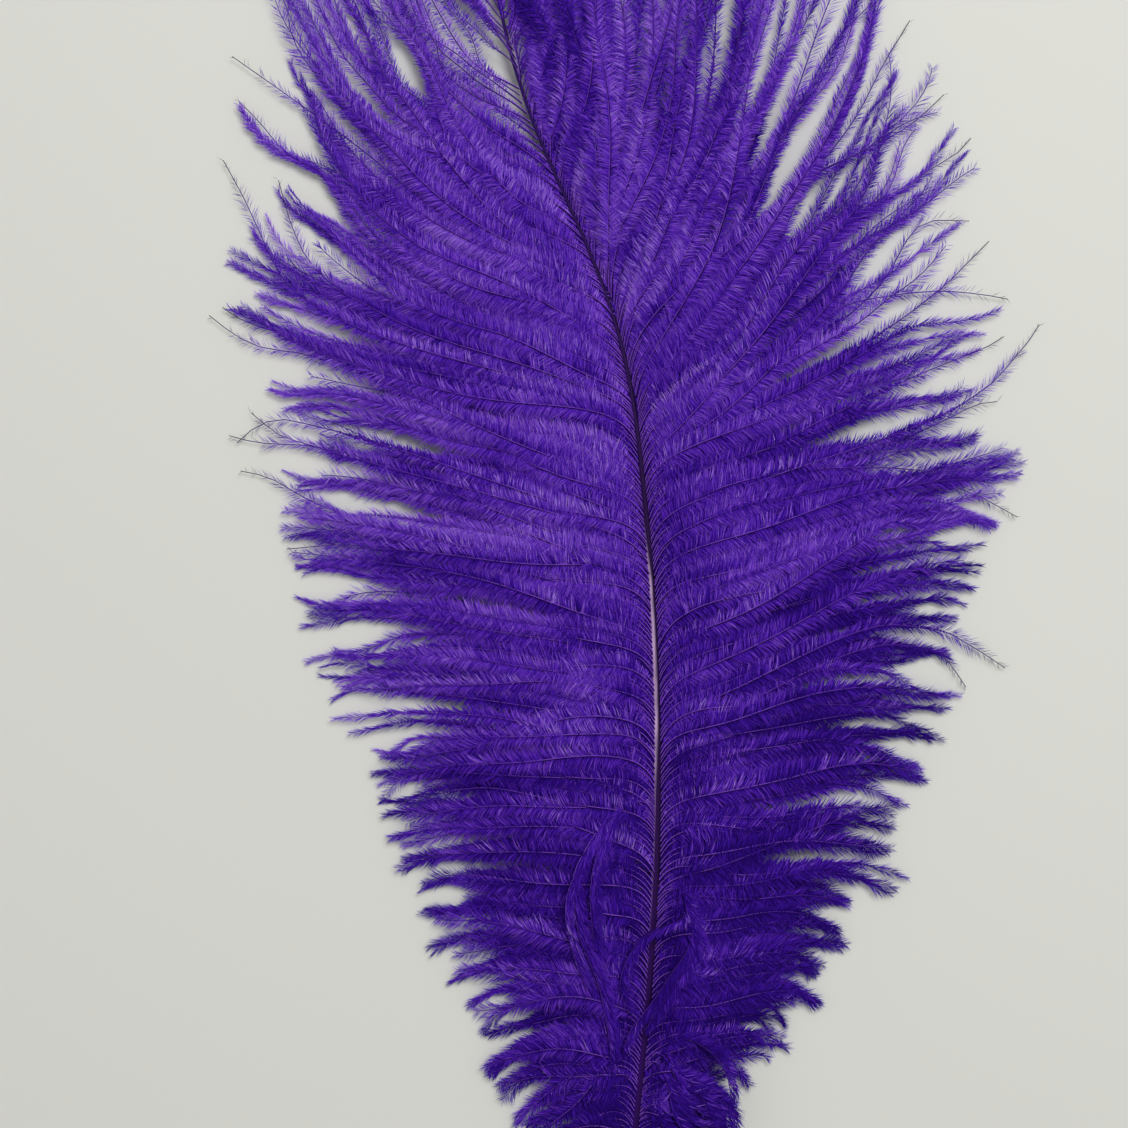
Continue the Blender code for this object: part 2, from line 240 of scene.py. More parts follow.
# %% Sizes of a barb's line
STATIONS = 30  # points along one barb
shares = np.linspace(0, 1, STATIONS) ** 1.25
ROOT_PULL, TIP_PULL = 0.32, 0.22  # lengths of the two handles, as shares of the span
CROWN_PULL = 0.16  # the first of them on the right of the crown, where the barbs turn up sooner
HOOK_BACK, HOOK_REACH = 5.0, 2.9  # how far a root sits towards the base, and where that has faded
HOOKS_FADE = (98, 124)  # y between which barbs lose most of their hook
ARCH = 2.0  # rise of a barb between the shaft and the place where it droops
FLAT_CROWN = (6.6, 4.6)  # heights of the shaft between which barbs come to lie almost flat
LOWEST = 0.3  # the lowest that a barb may lie
print("points along a barb:", STATIONS, "- the first at", round(float(shares[1]), 3),
      "of its length")


# %% Its sweep
def wave(rng, size):
    """A slow sideways wander that is nothing at the root and at the tip."""
    first, second = rng.uniform(0, 2 * math.pi, 2)
    drift = np.sin(shares * rng.uniform(2.5, 5) + first)
    ripple = np.sin(shares * rng.uniform(7, 12) + second)
    return size * np.sin(math.pi * shares) * (drift + 0.35 * ripple)


def sideways(flat, amounts):
    """Moves the points of a flat line across its own direction."""
    along = np.gradient(flat, axis=0)
    along /= np.linalg.norm(along, axis=1)[:, None]
    return flat + np.stack([-along[:, 1], along[:, 0]], 1) * amounts[:, None]


def sweep(start, leaving, tip, arriving, reach=1.0):
    """A flat cubic curve from the shaft towards a tip, as far as reach of its length."""
    span = np.linalg.norm(tip - start)
    pull = ROOT_PULL + (CROWN_PULL - ROOT_PULL) * smooth(55, 80, start[1]) * (leaving[0] > 0)
    near = start + pull * span * leaving
    far = tip - TIP_PULL * span * arriving
    t = (shares * reach)[:, None]
    return ((1 - t) ** 3 * start + 3 * (1 - t) ** 2 * t * near + 3 * (1 - t) * t**2 * far
            + t**3 * tip)


def root_of(side, root_y, rng):
    """Where a barb starts, inside the shaft, and the direction of its sweep."""
    axis, radius = shaft_at(root_y)
    column = 1 if side == LEFT else 2
    turn = np.interp(root_y, LEAVING[:, 0], LEAVING[:, column]) + rng.normal(0, 3)
    start = axis[:2] + np.array([side * 0.6 * radius, 0])
    return start, heading(shaft_heading(root_y) - side * turn), axis[2] + 0.7 * radius


print("handles:", ROOT_PULL, "and", TIP_PULL, "of the span")


# %% Its hook and its way round a gap
def hooked(flat, root_y):
    """The line with its root pushed back along the shaft."""
    gone = np.linalg.norm(flat - flat[0], axis=1)
    onward = heading(shaft_heading(root_y))
    first = (flat[3] - flat[0]) / np.linalg.norm(flat[3] - flat[0])
    aside = math.sqrt(max(1 - float(first @ onward) ** 2, 0))  # 1 for a barb square to the shaft
    aside *= 1 - 0.6 * smooth(*HOOKS_FADE, root_y)
    push = HOOK_BACK * aside * np.exp(-gone / HOOK_REACH) * np.clip(gone[-1] / 25, 0.3, 1)
    return flat - onward * push[:, None]


BARBULE_REACH = 1.0  # how far barbules reach into a gap on each side
GAP_ENDS = 1.4  # how far a gap still parts barbs, as a share of its half length
GAP_SIDES = 2.5  # the same across it


def parted(flat):
    """The line, pushed sideways out of every gap, without corners."""
    push = np.zeros_like(flat)
    for x, y, half_length, half_width, direction in GAPS:
        onward = heading(direction)
        across = np.array([-onward[1], onward[0]])
        away = flat - (x, y)
        place = np.clip(np.abs(away @ onward) / (GAP_ENDS * half_length), 0, 1)
        width = (half_width + BARBULE_REACH) * np.cos(0.5 * math.pi * place) ** 2
        off = away @ across
        inside = np.abs(off) < GAP_SIDES * width
        push += np.where(inside, np.sign(off) * (width - 0.4 * np.abs(off)), 0)[:, None] * across
    for _ in range(4):
        push[1:-1] = 0.25 * push[:-2] + 0.5 * push[1:-1] + 0.25 * push[2:]
    return flat + push


print("hook:", HOOK_BACK, "mm back, gone after about", round(3 * HOOK_REACH), "mm")


# %% Its height
def heights(root_height, tip_height, lift):
    """Height along a barb: from the shaft over a low arch down to the table."""
    sag = float(smooth(*FLAT_CROWN, root_height))
    fall = smooth(0.12 - 0.1 * sag, 0.8 - 0.35 * sag, shares)
    arch = ARCH * (1 - 0.7 * sag) * np.sin(math.pi * shares)
    rise = (1 - fall) * (root_height + arch) + fall * tip_height
    rise += lift * smooth(0.0, 0.25, shares) * (1 - 0.7 * smooth(0.6, 1.0, shares))
    return np.maximum(rise, LOWEST)


print("a barb's highest point:", round(float(heights(8, 0.5, 0).max()), 1), "mm")

# %% [markdown]
# ## Tufts and loners
#
# Barbs grow every 1.35 mm along the shaft, and further apart on the left of the crown. They could
# be spread evenly, but then the rim would be a smooth fringe. Most join the tuft nearest to them:
# in the lower vane only in the last fifth of their way, which makes a rim of short teeth, and in
# the crown almost at once, which makes long slits. About one in four is a loner that rides over
# its neighbours and crosses them at a small angle: these are the dark ribs with a bright fringe
# that cross the middle of the vane.
# The brightness of that fringe is partly painted glints.

# %% Pitches and shares
BARB_PITCH = 1.35
CROWN_PITCH, CROWN_FROM = 2.3, 96  # on the left, above this y, where the table shows between barbs
FAN_PITCH, FAN = 0.95, (36, 74)  # on the right, between these y, where the barbs fan out most
LONERS = 0.27  # share of barbs that ride over the others
# y on the shaft, and how long a barb keeps apart before it joins its tuft, left and right: 1 is
# until the last fifth of its way, 0 is not at all
APART = np.array([
    (-150, 0.2, 0.7), (-100, 0.4, 0.95), (-60, 0.85, 0.95), (0, 0.8, 0.95), (30, 0.45, 0.75),
    (50, 0.4, 0.75), (80, 0.2, 0.75), (100, 0.1, 0.5), (180, 0.1, 0.3),
])
print("pitches in mm:", BARB_PITCH, CROWN_PITCH, FAN_PITCH, "- loners:", LONERS)


# %% One barb of a tuft, and one that stands alone
def unruly(root_y):
    """How far barbs stray from their tuft's line: more than twice as far in the crown."""
    return 1 + 1.3 * float(smooth(15, 70, root_y))


def fanned(side, low, high, root_y):
    """1 on the right above the two heights, where the barbs fan out and tangle, else 0."""
    return float((side == RIGHT) * smooth(low, high, root_y))


def field_at(side, root_y):
    """Tip and arriving direction that the tufts give at a place on the shaft."""
    rows = TUFTS[side]
    return np.array([np.interp(root_y, rows[:, 0], rows[:, i]) for i in (1, 2, 3)])


def barb(line, root_y, rng, tone=0.0, full=1.0, bare=0.86, top=0.0, shut=0.0, combed=0.0):
    """A barb's line and what changes its look: its dye, how long its barbules are, its bare tip,
    whether it rides on top, how far its barbules are shut and how far they are combed over."""
    return {"line": line, "root_y": root_y, "tone": tone, "bare": bare, "top": top, "shut": shut,
            "combed": combed, "full": full * rng.uniform(0.85, 1.1)}


def tuft_barb(side, root_y, point, arriving, offset, sway, lift, rng):
    """One barb of a tuft; offset says how far it lies beside the tuft's middle."""
    start, leaving, height = root_of(side, root_y, rng)
    onward = heading(arriving)
    tip = point + offset * np.array([-onward[1], onward[0]]) + rng.normal(0, 0.5, 2)
    reach = 1 - 0.018 * abs(offset) - rng.uniform(0, 0.06)
    flat = sweep(start, leaving, tip, heading(arriving + rng.normal(0, 6) - 3 * offset), reach)
    x, y, alone = field_at(side, root_y)
    apart = np.interp(root_y, APART[:, 0], APART[:, 1 if side == LEFT else 2])
    own = sweep(start, leaving, np.array([x, y]), heading(alone), reach)
    flat += apart * smooth(1.0, 0.72, shares)[:, None] * (own - flat)
    flat = parted(hooked(sideways(flat, sway + wave(rng, 0.6 * unruly(root_y))), root_y))
    rise = heights(height, rng.uniform(0.4, 1.8), lift + rng.normal(0, 0.25))
    return np.column_stack([flat, rise])


def loner_barb(side, root_y, rng):
    start, leaving, height = root_of(side, root_y, rng)
    x, y, arriving = field_at(side, np.clip(root_y + rng.normal(0, 6), -152, 184))
    stray = 1.6 * unruly(root_y) + 5 * fanned(side, 42, 55, root_y)
    tip = np.array([x, y]) + rng.normal(0, 1, 2) * (stray, 1.6 * unruly(root_y))
    astray = arriving + rng.normal(0, 14 + 4 * unruly(root_y))
    flat = sweep(start, leaving, tip, heading(astray), rng.uniform(0.78, 0.98))
    flat = parted(hooked(sideways(flat, wave(rng, 1.8 * unruly(root_y))), root_y))
    rise = heights(height, rng.uniform(0.5, 2.6), rng.uniform(1.2, 2.6))
    return np.column_stack([flat, rise])


print("barbs stray", round(unruly(100), 1), "times as far in the crown as at the base")


# %% Grow both vanes
def grow_vane(side, rng):
    """All barbs of one vane, from the base up."""
    rows = TUFTS[side]
    edges = np.concatenate([[rows[0, 0] - 2], (rows[1:, 0] + rows[:-1, 0]) / 2, [rows[-1, 0] + 3]])
    barbs = []
    for low, high, (_, x, y, direction) in zip(edges[:-1], edges[1:], rows):
        pitch = CROWN_PITCH if side == LEFT and low > CROWN_FROM else BARB_PITCH
        if side == RIGHT and FAN[0] < low < FAN[1]:
            pitch = FAN_PITCH
        count = max(2, round((high - low) / pitch))
        point = np.array([x, y]) + rng.normal(0, 0.5, 2)
        arriving = direction + rng.normal(0, 5)
        sway = wave(rng, (1.2 + 0.8 * fanned(side, 35, 50, low)) * unruly(low))
        lift = rng.uniform(0, 1.4)
        tone = rng.normal(0, 0.085 + 0.05 * fanned(side, 40, 60, low))
        spread = rng.uniform(0.3, 0.9)
        for place in range(count):
            root_y = low + (place + 0.5) * (high - low) / count + rng.normal(0, 0.12)
            offset = -side * spread * (place - (count - 1) / 2)
            if rng.random() < LONERS:
                line = loner_barb(side, root_y, rng)
                barbs.append(barb(line, root_y, rng, tone=rng.normal(0.02, 0.06), top=1.0))
            else:
                line = tuft_barb(side, root_y, point, arriving, offset, sway, lift, rng)
                barbs.append(barb(line, root_y, rng, tone=tone + rng.normal(0, 0.03)))
    return barbs


rng = np.random.default_rng(SEED)
vanes = {side: grow_vane(side, rng) for side in (LEFT, RIGHT)}
print("barbs grown:", len(vanes[LEFT]), "on the left,", len(vanes[RIGHT]), "on the right")

# %% [markdown]
# ## Strays
#
# Some barbs have worked loose. Long ones stand out past the outline with a bare, slate grey tip
# that took little dye. Near the base some fold back over the vane and the shaft or curl down beside
# the quill, in pairs that look like ribbons, because all their barbules are combed to one side. Two
# dark locks lie over the crown. They could be left to chance, but they are what tells this plume
# from any other, so each is listed with the points that it passes through.

# %% Strays, listed one by one
# side, y on the shaft, lift, points in mm from the shaft to the tip
STRAYS = [
    (LEFT, 60, 1.6, [(-26, 75), (-46, 88.7), (-66, 105), (-81, 116.2), (-97.7, 128)]),
    (LEFT, 54, 1.2, [(-56, 86.2), (-74.7, 100), (-84, 103.7), (-90.5, 111.2), (-96.2, 117)]),
    (LEFT, 40, 1.0, [(-87.2, 76.2), (-91.5, 85.5), (-94.7, 92.5), (-100, 102.2)]),
    (LEFT, 42, 0.6, [(-81, 81.2), (-83.5, 87.5), (-86.2, 97.2)]),
    (LEFT, 20, 0.8, [(-83.5, 54.5), (-90.5, 55.5), (-97.2, 58.7), (-103.5, 63.5)]),
    (LEFT, 22, 1.2, [(-87.2, 59.5), (-94.7, 62), (-100.2, 65.5)]),
    (LEFT, 6, 2.0, [(-78.5, 31.2), (-86, 33.7), (-93, 39.2)]),
    (LEFT, 4, 1.0, [(-81, 31.2), (-91, 31.7), (-98.5, 33.5)]),
    (LEFT, 9, 1.6, [(-78.5, 36.2), (-84.7, 37.5), (-91, 36.2), (-96.5, 31.7)]),
    (LEFT, -4, 0.8, [(-81, 18.7), (-88.5, 23), (-95.7, 24.7)]),
    (LEFT, -16, 0.6, [(-73.5, 6.2), (-84.2, 5.2)]),
    (LEFT, 72, 1.0, [(-73.5, 120), (-82, 135), (-86.5, 146)]),
    (LEFT, -5, 2.2, [(-10, 3), (-19.5, 7.2), (-29.2, 11.2), (-37.2, 18.7), (-54, 28), (-73, 37)]),
    (LEFT, 12, 1.8, [(-14.7, 19.2), (-24.2, 22.7), (-43.5, 26.5), (-66, 32)]),
    (LEFT, -20, 2.0, [(-20.5, -14.7), (-34, -10.2), (-43.5, -7.5), (-62, -6)]),
    (LEFT, -2.5, 1.7, [(-10, 1), (-24.2, 0.5), (-34, -0.7), (-43.5, 0.7), (-60, 4)]),
    (RIGHT, 50, 1.0, [(49, 101.2), (54, 107.5), (59, 115), (64, 125), (68.2, 132), (71.2, 137)]),
    (RIGHT, 43, 1.2, [(39, 90), (46.5, 97.5), (56.5, 103), (66.5, 108), (72.7, 112),
                      (79.7, 118.5)]),
    (RIGHT, 36, 1.0, [(64, 92.5), (69, 95), (76.5, 100), (82.7, 103.7), (86.5, 107.7)]),
    (RIGHT, 30, 0.8, [(66.5, 75), (71.5, 83.7), (76.5, 87), (86, 87)]),
    (RIGHT, 25, 1.0, [(74, 66.2), (80.2, 71.2), (85.2, 76.2), (91, 82)]),
    (RIGHT, 19, 1.2, [(59, 67), (69, 68.7), (79, 69.5), (89, 68.7), (95.7, 67.5)]),
    (RIGHT, 14, 0.8, [(76.5, 50), (84, 53), (90.2, 55.5), (94.7, 58.2)]),
    (RIGHT, 10, 1.4, [(87.7, 43.7), (92.7, 47.5), (96.5, 52), (100.2, 56.2), (103.5, 61.2)]),
    (RIGHT, 6, 0.8, [(82.7, 38.7), (87.7, 41.2), (93, 42)]),
    (RIGHT, -14, 0.6, [(81.5, 21.2), (90.2, 17.5), (98, 13.2)]),
    (RIGHT, -36, 1.0, [(69, -13.7), (79, -15), (84, -17.5), (90.2, -21.2), (95, -24.5)]),
    (RIGHT, -42, 0.6, [(69, -18.7), (77.7, -20), (81.5, -23.7), (85.2, -29.2)]),
]
# the same for barbs that fold back over the vane and the shaft, with the height of their far end
FOLDED = [
    (LEFT, -52, 11.2, [(-4, -60), (-9.2, -67.8), (-12.6, -75.1), (-12.3, -83.5), (-10.7, -91),
                      (-6.5, -101.5), (-4.5, -111), (-3.4, -119.3)]),
    (LEFT, -54, 10.9, [(-3, -61), (-7, -70), (-8.5, -80), (-7.5, -92), (-6, -102.5)]),
    (LEFT, -57, 10.9, [(-5, -63), (-11, -72), (-14.5, -82), (-13, -93), (-9, -103)]),
    (RIGHT, -76, 10.8, [(14, -79), (15, -84), (9, -87.5), (4.5, -90), (0.2, -96), (-1.2, -102.5),
                       (0.8, -108)]),
    (RIGHT, -80, 10.8, [(15.6, -83.5), (16.1, -91), (10.3, -100.4), (6.1, -106.7), (1.9, -112),
                       (-0.2, -117)]),
    (RIGHT, -83, 10.4, [(17, -86), (17, -94), (12, -102), (8, -108), (5, -113)]),
    (RIGHT, -116, 8.8, [(9, -118), (12, -124), (13.5, -131), (17, -136), (23, -137)]),
    (RIGHT, -118, 8.2, [(8, -120), (10.5, -127), (12, -134), (16, -139.5), (22, -141)]),
    (RIGHT, -121, 7.4, [(9, -122), (15, -125), (19, -130), (21, -137), (19.5, -144)]),
    (RIGHT, -124, 6.8, [(12, -124), (20, -127), (24.5, -131), (26, -137), (25, -144)]),
    (RIGHT, -126, 6.4, [(12, -127), (19, -129.5), (22.5, -134), (23.5, -140), (22, -147)]),
    (RIGHT, -129, 5.6, [(12, -130), (18, -133), (21, -138), (21.5, -144), (20, -150)]),
    (RIGHT, -113, 8.0, [(12, -114), (19, -117), (24, -122), (26, -129), (24.5, -134)]),
    (RIGHT, -131, 5.6, [(8, -134), (11, -140), (15, -144), (20, -146)]),
]
DARK_LOCKS = [
    (107, [(-17, 126), (-20.5, 134), (-26, 143), (-32, 153), (-38, 163), (-43, 171)]),
    (92, [(-8.5, 113), (-10.5, 122), (-13.5, 132), (-16.5, 142), (-20, 155), (-23, 168)]),
]
print("strays:", len(STRAYS), "- folded:", len(FOLDED), "- dark locks:", len(DARK_LOCKS))


# %% A barb through given points
def through(points):
    """A smooth line through points (Catmull-Rom), dense enough to be measured."""
    points = np.array(points, float)
    ends = np.vstack([2 * points[0] - points[1], points, 2 * points[-1] - points[-2]])
    t = np.linspace(0, 1, 12)[:, None]
    runs = []
    for a, b, c, d in zip(ends, ends[1:], ends[2:], ends[3:]):
        runs.append(0.5 * (2 * b + (c - a) * t + (2 * a - 5 * b + 4 * c - d) * t**2
                           + (3 * b - a - 3 * c + d) * t**3)[:-1])
    return np.vstack(runs + [points[-1:]])


def stray_line(side, root_y, points, lift, rng, end_height=1.3):
    """A barb that follows the others as far as the first point, and its own way from there."""
    start, leaving, height = root_of(side, root_y, rng)
    points = np.array(points, float)
    onward = points[1] - points[0]
    first = sweep(start, leaving, points[0], onward / np.linalg.norm(onward))
    whole = np.vstack([first[:-1], through(points)])
    gone = np.concatenate([[0], np.cumsum(np.linalg.norm(np.diff(whole, axis=0), axis=1))])
    flat = np.stack([np.interp(shares * gone[-1], gone, whole[:, i]) for i in (0, 1)], 1)
    return np.column_stack([hooked(flat, root_y), heights(height, end_height, lift)])


def length_of(line):
    return float(np.linalg.norm(np.diff(line, axis=0), axis=1).sum())


print("the first stray's outer part:", round(length_of(through(STRAYS[0][3]))), "mm")

# %% Add the strays
PAIR_APART = 0.9  # mm between the two folded barbs of a pair
LOCK_APART = 1.3  # mm between the three barbs of a dark lock
for side, root_y, lift, points in STRAYS:
    line = stray_line(side, root_y, points, lift, rng)
    vanes[side].append(barb(line, root_y, rng, tone=-0.04, full=0.85, bare=1.0, top=1.0))
for side, root_y, end_height, points in FOLDED:
    for beside in (0, PAIR_APART):
        moved = [(x + beside, y + 0.4 * beside) for x, y in points]
        line = stray_line(side, root_y - beside, moved, 1.1, rng, end_height)
        ribbon = {"tone": -0.02, "full": 0.95, "top": 0.6, "shut": 0.86, "combed": 0.45}
        vanes[side].append(barb(line, root_y, rng, **ribbon))
for root_y, middle in DARK_LOCKS:
    for place in range(3):
        points = [(x + LOCK_APART * (place - 1) + rng.normal(0, 0.3), y) for x, y in middle]
        line = stray_line(RIGHT, root_y - 1.6 * place, points, 0.4, rng, end_height=5.0)
        vanes[RIGHT].append(barb(line, root_y - 1.6 * place, rng, tone=-0.24, full=0.8, shut=0.1))
for side, name in ((LEFT, "left"), (RIGHT, "right")):
    total = sum(length_of(one["line"]) for one in vanes[side])
    print(name, "vane:", len(vanes[side]), "barbs,", round(total / 1000, 1), "m in all")

# %% [markdown]
# ## Barbs as bare lines
#
# Geometry Nodes will dress the barbs, and it needs plain lines to work on. A mesh that has only
# edges carries the lines, and named attributes on its points carry what changes along a barb:
# how far along it is, how thick the rib is, how long the barbules are, and how light it looks,
# from its dye and from painted shade and glints. A plume isn't the same all over, and could be
# painted by hand, but what changes follows rules. So the functions below say how: dense and dark
# at the base, partly from painted shade, loose at the rim, thin in the crown, worn beside the
# quill, and darker with painted shade where the vane folds.

# %% How long the barbules are
def beside_gap(line):
    """1 where a barb runs along a gap, else 0: long barbules would close it."""
    near = np.zeros(STATIONS)
    for x, y, half_length, half_width, direction in GAPS:
        onward = heading(direction)
        away = line[:, :2] - (x, y)
        along = np.abs(away @ onward) / half_length
        off = np.abs(away[:, 1] * onward[0] - away[:, 0] * onward[1]) - half_width
        near = np.maximum(near, smooth(1.3, 0.9, along) * smooth(4, 2, off))
    return near


def from_shaft(line):
    """How far beside the shaft a barb is at each of its points."""
    return np.abs(line[:, 0] - np.interp(line[:, 1], SHAFT[:, 0], SHAFT[:, 1]))


def fullness(side, one):
    """Length of barbules along a barb: short at the shaft, long in the middle, short at the tip.

    The crown is thin, above all on its left, where the table shows through."""
    thin = np.interp(one["line"][:, 1], [-60, 30, 90, 130], [1, 0.95, 0.9, 0.86])
    outer = 1 + (thin - 1) * smooth(0.2, 0.5, shares)
    if side == LEFT:
        outer *= 1 - 0.3 * smooth(90, 115, one["root_y"])
    near = smooth(1.0, 7.0, from_shaft(one["line"]))
    length = np.where(shares < 0.4, 0.1 + 0.9 * near, 1)
    length *= 1 - 0.2 * beside_gap(one["line"])
    outer *= 1 + 0.3 * one["top"] * airy(side, one) * smooth(0.5, 0.8, shares)
    return one["full"] * length * outer * (1 - 0.5 * smooth(0.87, 1.0, shares))


def airy(side, one):
    """How loosely the barbules stand towards a barb's tip: least in the dense locks of the base."""
    loose = np.interp(one["root_y"], [-150, -60, -20, 20, 60], [0.3, 0.45, 0.7, 1, 1])
    if side == RIGHT:
        loose *= 1 - 0.6 * smooth(-62, -50, one["root_y"]) * smooth(2, -8, one["root_y"])
    return loose


print("half way up the plume barbules are", round(100 * float(airy(LEFT, {"root_y": 0}))),
      "% as loose as in the crown")

# %% Where they are missing
WORN = (-75.5, -80.5, -113)  # y of the worn places beside the shaft


def sparse(line):
    """How far the barbules of the crown stand apart and lack down, so that the table shows."""
    return smooth(88, 128, line[:, 1])


def worn_root(side, one):
    """1 where the barbules near the shaft are worn off and the ribs stand like a comb, else 0."""
    if side == RIGHT:
        return 0 * shares
    close = min(abs(one["root_y"] - y - 3.5) for y in WORN)
    return smooth(1.3, 0.8, close) * smooth(0.15, 0.1, shares)


def down_length(side, one):
    """Length of the down beneath a barb: none towards the tip, little on the left of the crown."""
    length = fullness(side, one).clip(0.6) * np.minimum(1, 1.3 - 1.3 * smooth(0.45, 0.9, shares))
    length *= 1 - 0.5 * airy(side, one) * smooth(0.35, 0.7, shares)
    length *= 1 - 0.6 * sparse(one["line"])
    if side == LEFT:
        length *= 1 - 0.8 * smooth(90, 112, one["root_y"])
    return length * (1 - worn_root(side, one)) * (1 - 0.9 * beside_gap(one["line"]))


print("barbs worn at the root:", sum(worn_root(LEFT, one)[0] > 0.5 for one in vanes[LEFT]))

# %% How light the dye looks, with painted shade
# darker towards the base: partly the dye, partly painted shade where the down lies dense
TONE_PLACES = [-160, -100, -40, 20, 90, 160]  # y along the plume
DYE_AND_SHADE_TONES = [0.2, 0.28, 0.39, 0.45, 0.495, 0.53]  # how light the dye looks there
PATCH = 13.0  # mm, size of the darker and lighter patches of the vane
# painted shade in folds where barbs lie deeper: x, y, half length, half width, direction, depth
SHADES = [
    (-24.5, 135, 13, 3, 123, 0.16), (-11, 123, 11, 2.6, 107, 0.16), (0, 96, 16, 3, 90, 0.08),
    (9, 110, 11, 3, 88, 0.13), (28, 91, 10, 3, 40, 0.17), (36.5, 114, 9, 3, 50, 0.1),
    (72, -8, 26, 9, 100, 0.06), (-56, 91, 12, 3, 165, 0.17), (-74, 103, 9, 3, 128, 0.2),
    (-79, 118, 9, 2.5, 105, 0.16), (6, 84, 12, 2.5, 62, 0.12), (24, 112, 14, 3, 70, 0.12),
]


def shade(line):
    """How much painted shade the folds put on a barb along its line."""
    deep = np.zeros(STATIONS)
    for x, y, half_length, half_width, direction, depth in SHADES:
        onward = heading(direction)
        away = line[:, :2] - (x, y)
        along = away @ onward / half_length
        across = (away[:, 1] * onward[0] - away[:, 0] * onward[1]) / half_width
        deep += depth * np.exp(-along**2 - across**2)
    return deep


def region_tone(side, one):
    """How light a barb looks along its line: darker at the base, partly from the dye and partly
    painted shade where the down lies dense, with painted shade beside the shaft and in the folds.
    """
    line = one["line"]
    tone = np.interp(line[:, 1], TONE_PLACES, DYE_AND_SHADE_TONES)
    tone -= 0.05 * smooth(0, 20, line[:, 0]) * (1 + 0.5 * smooth(70, 110, line[:, 1]))
    tone -= 0.075 * smooth(10, 60, line[:, 0]) * smooth(60, 0, line[:, 1])
    tone += 0.02 * smooth(0, -20, line[:, 0]) * smooth(60, 0, line[:, 1])
    patch = [noise.noise(Vector((x / PATCH, y / PATCH, 0.7 * side))) for x, y, _ in line]
    # painted shade beside the shaft in the lower vane, under the comb of ribs
    tone -= 0.12 * np.exp(-(from_shaft(line) / 7) ** 2) * smooth(60, 20, line[:, 1])
    return one["tone"] + tone + 0.12 * np.array(patch) - shade(line)


print("tone from", DYE_AND_SHADE_TONES[0], "at the base to", DYE_AND_SHADE_TONES[-1], "at the tip, darker in",
      len(SHADES), "folds")

# %% How far the barbules stand open, and their painted glints
OPEN_ANGLE, TIP_ANGLE = math.radians(62), math.radians(21)  # between a barb and its barbules
LONER_ANGLE = math.radians(34)  # the same near the tip of a barb that stands alone
GLOWS = 8  # places along a barb where its barbules may catch the light


def opened(one, closing):
    """Angle between a barb and its barbules: it closes towards the tip, most of all in a tuft."""
    last = TIP_ANGLE + (LONER_ANGLE - TIP_ANGLE) * one["top"]
    return (OPEN_ANGLE + (last - OPEN_ANGLE) * closing) * (1 - one["shut"])


def glow(rng, size):
    """Painted glints along a barb: how light its barbules are made, in a few soft peaks."""
    return size * np.interp(shares, np.linspace(0, 1, GLOWS), rng.random(GLOWS) ** 1.6)


print("barbules open", round(math.degrees(OPEN_ANGLE)), "degrees, and",
      round(math.degrees(TIP_ANGLE)), "near a tuft's tip")

# %% The lines as a mesh
RIB_ROOT, RIB_TIP = 0.22, 0.07  # radius of a barb's rib


def kept(side, one):
    """Share of the barbules that a barb keeps: fewer at a bare tip, near the rim and where worn."""
    bare = smooth(0.86, 0.96, one["bare"] * shares)
    rim = (0.15 + 0.4 * one["top"]) * airy(side, one) * smooth(0.45, 0.85, shares)
    keep = smooth(0.0, 0.012, shares) * (1 - 0.85 * bare) * (1 - rim)
    return keep * (1 - 0.9 * worn_root(side, one)) * (1 - 0.22 * sparse(one["line"]))


def rib_size(one):
    """Radius of a barb's rib along it, in metres: thicker for a loner, thinner in the crown."""
    thick = RIB_ROOT + (RIB_TIP - RIB_ROOT) * shares
    return thick * (1 + 0.4 * one["top"]) * (1 - 0.3 * smooth(80, 110, one["root_y"])) * MM


def lines_object(name, side, barbs, rng):
    """One object of loose edges, with a value of each attribute at each point."""
    count = len(barbs) * STATIONS
    points = np.concatenate([one["line"] for one in barbs]) * MM
    first = np.arange(count).reshape(len(barbs), STATIONS)
    edges = np.stack([first[:, :-1].ravel(), first[:, 1:].ravel()], 1)
    mesh = bpy.data.meshes.new(name)
    mesh.from_pydata(points.tolist(), edges.tolist(), [])
    closing = smooth(0.3, 0.85, shares)
    rise = -0.15 + 0.35 * smooth(0.03, 0.13, shares)
    upper, lower = ("right", "left") if side == LEFT else ("left", "right")
    values = {
        "along": [one["bare"] * shares for one in barbs],
        "rib": [rib_size(one) for one in barbs],
        "full": [fullness(side, one) for one in barbs],
        "down": [down_length(side, one) for one in barbs],
        "keep": [kept(side, one) for one in barbs],
        "open": [opened(one, closing) for one in barbs],
        "combed": [one["combed"] * smooth(0.1, 0.3, shares) for one in barbs],
        "tone": [region_tone(side, one) for one in barbs],
        # the edge of each rib that gets a painted highlight: the one that faces the plume's tip
        "upper_side": [np.full(STATIONS, 0.0 if side == LEFT else 0.5) for one in barbs],
        "rise_" + upper: [rise + 0.05 * one["top"] for one in barbs],
        "rise_" + lower: [rise - 0.16 for one in barbs],
        # painted glints: lighter barbules, most on the side that faces the plume's tip and on
        # loners
        "glint_" + upper: [glow(rng, 0.46 + 0.38 * one["top"]) for one in barbs],
        "glint_" + lower: [glow(rng, 0.24 + 0.12 * one["top"]) for one in barbs],
    }
    for key, value in values.items():
        spots = np.concatenate(value).astype(np.float32)
        mesh.attributes.new(key, "FLOAT", "POINT").data.foreach_set("value", spots)
    return put_in_scene(name, mesh)


print("ribs taper from", 2 * RIB_ROOT, "to", 2 * RIB_TIP, "mm across")

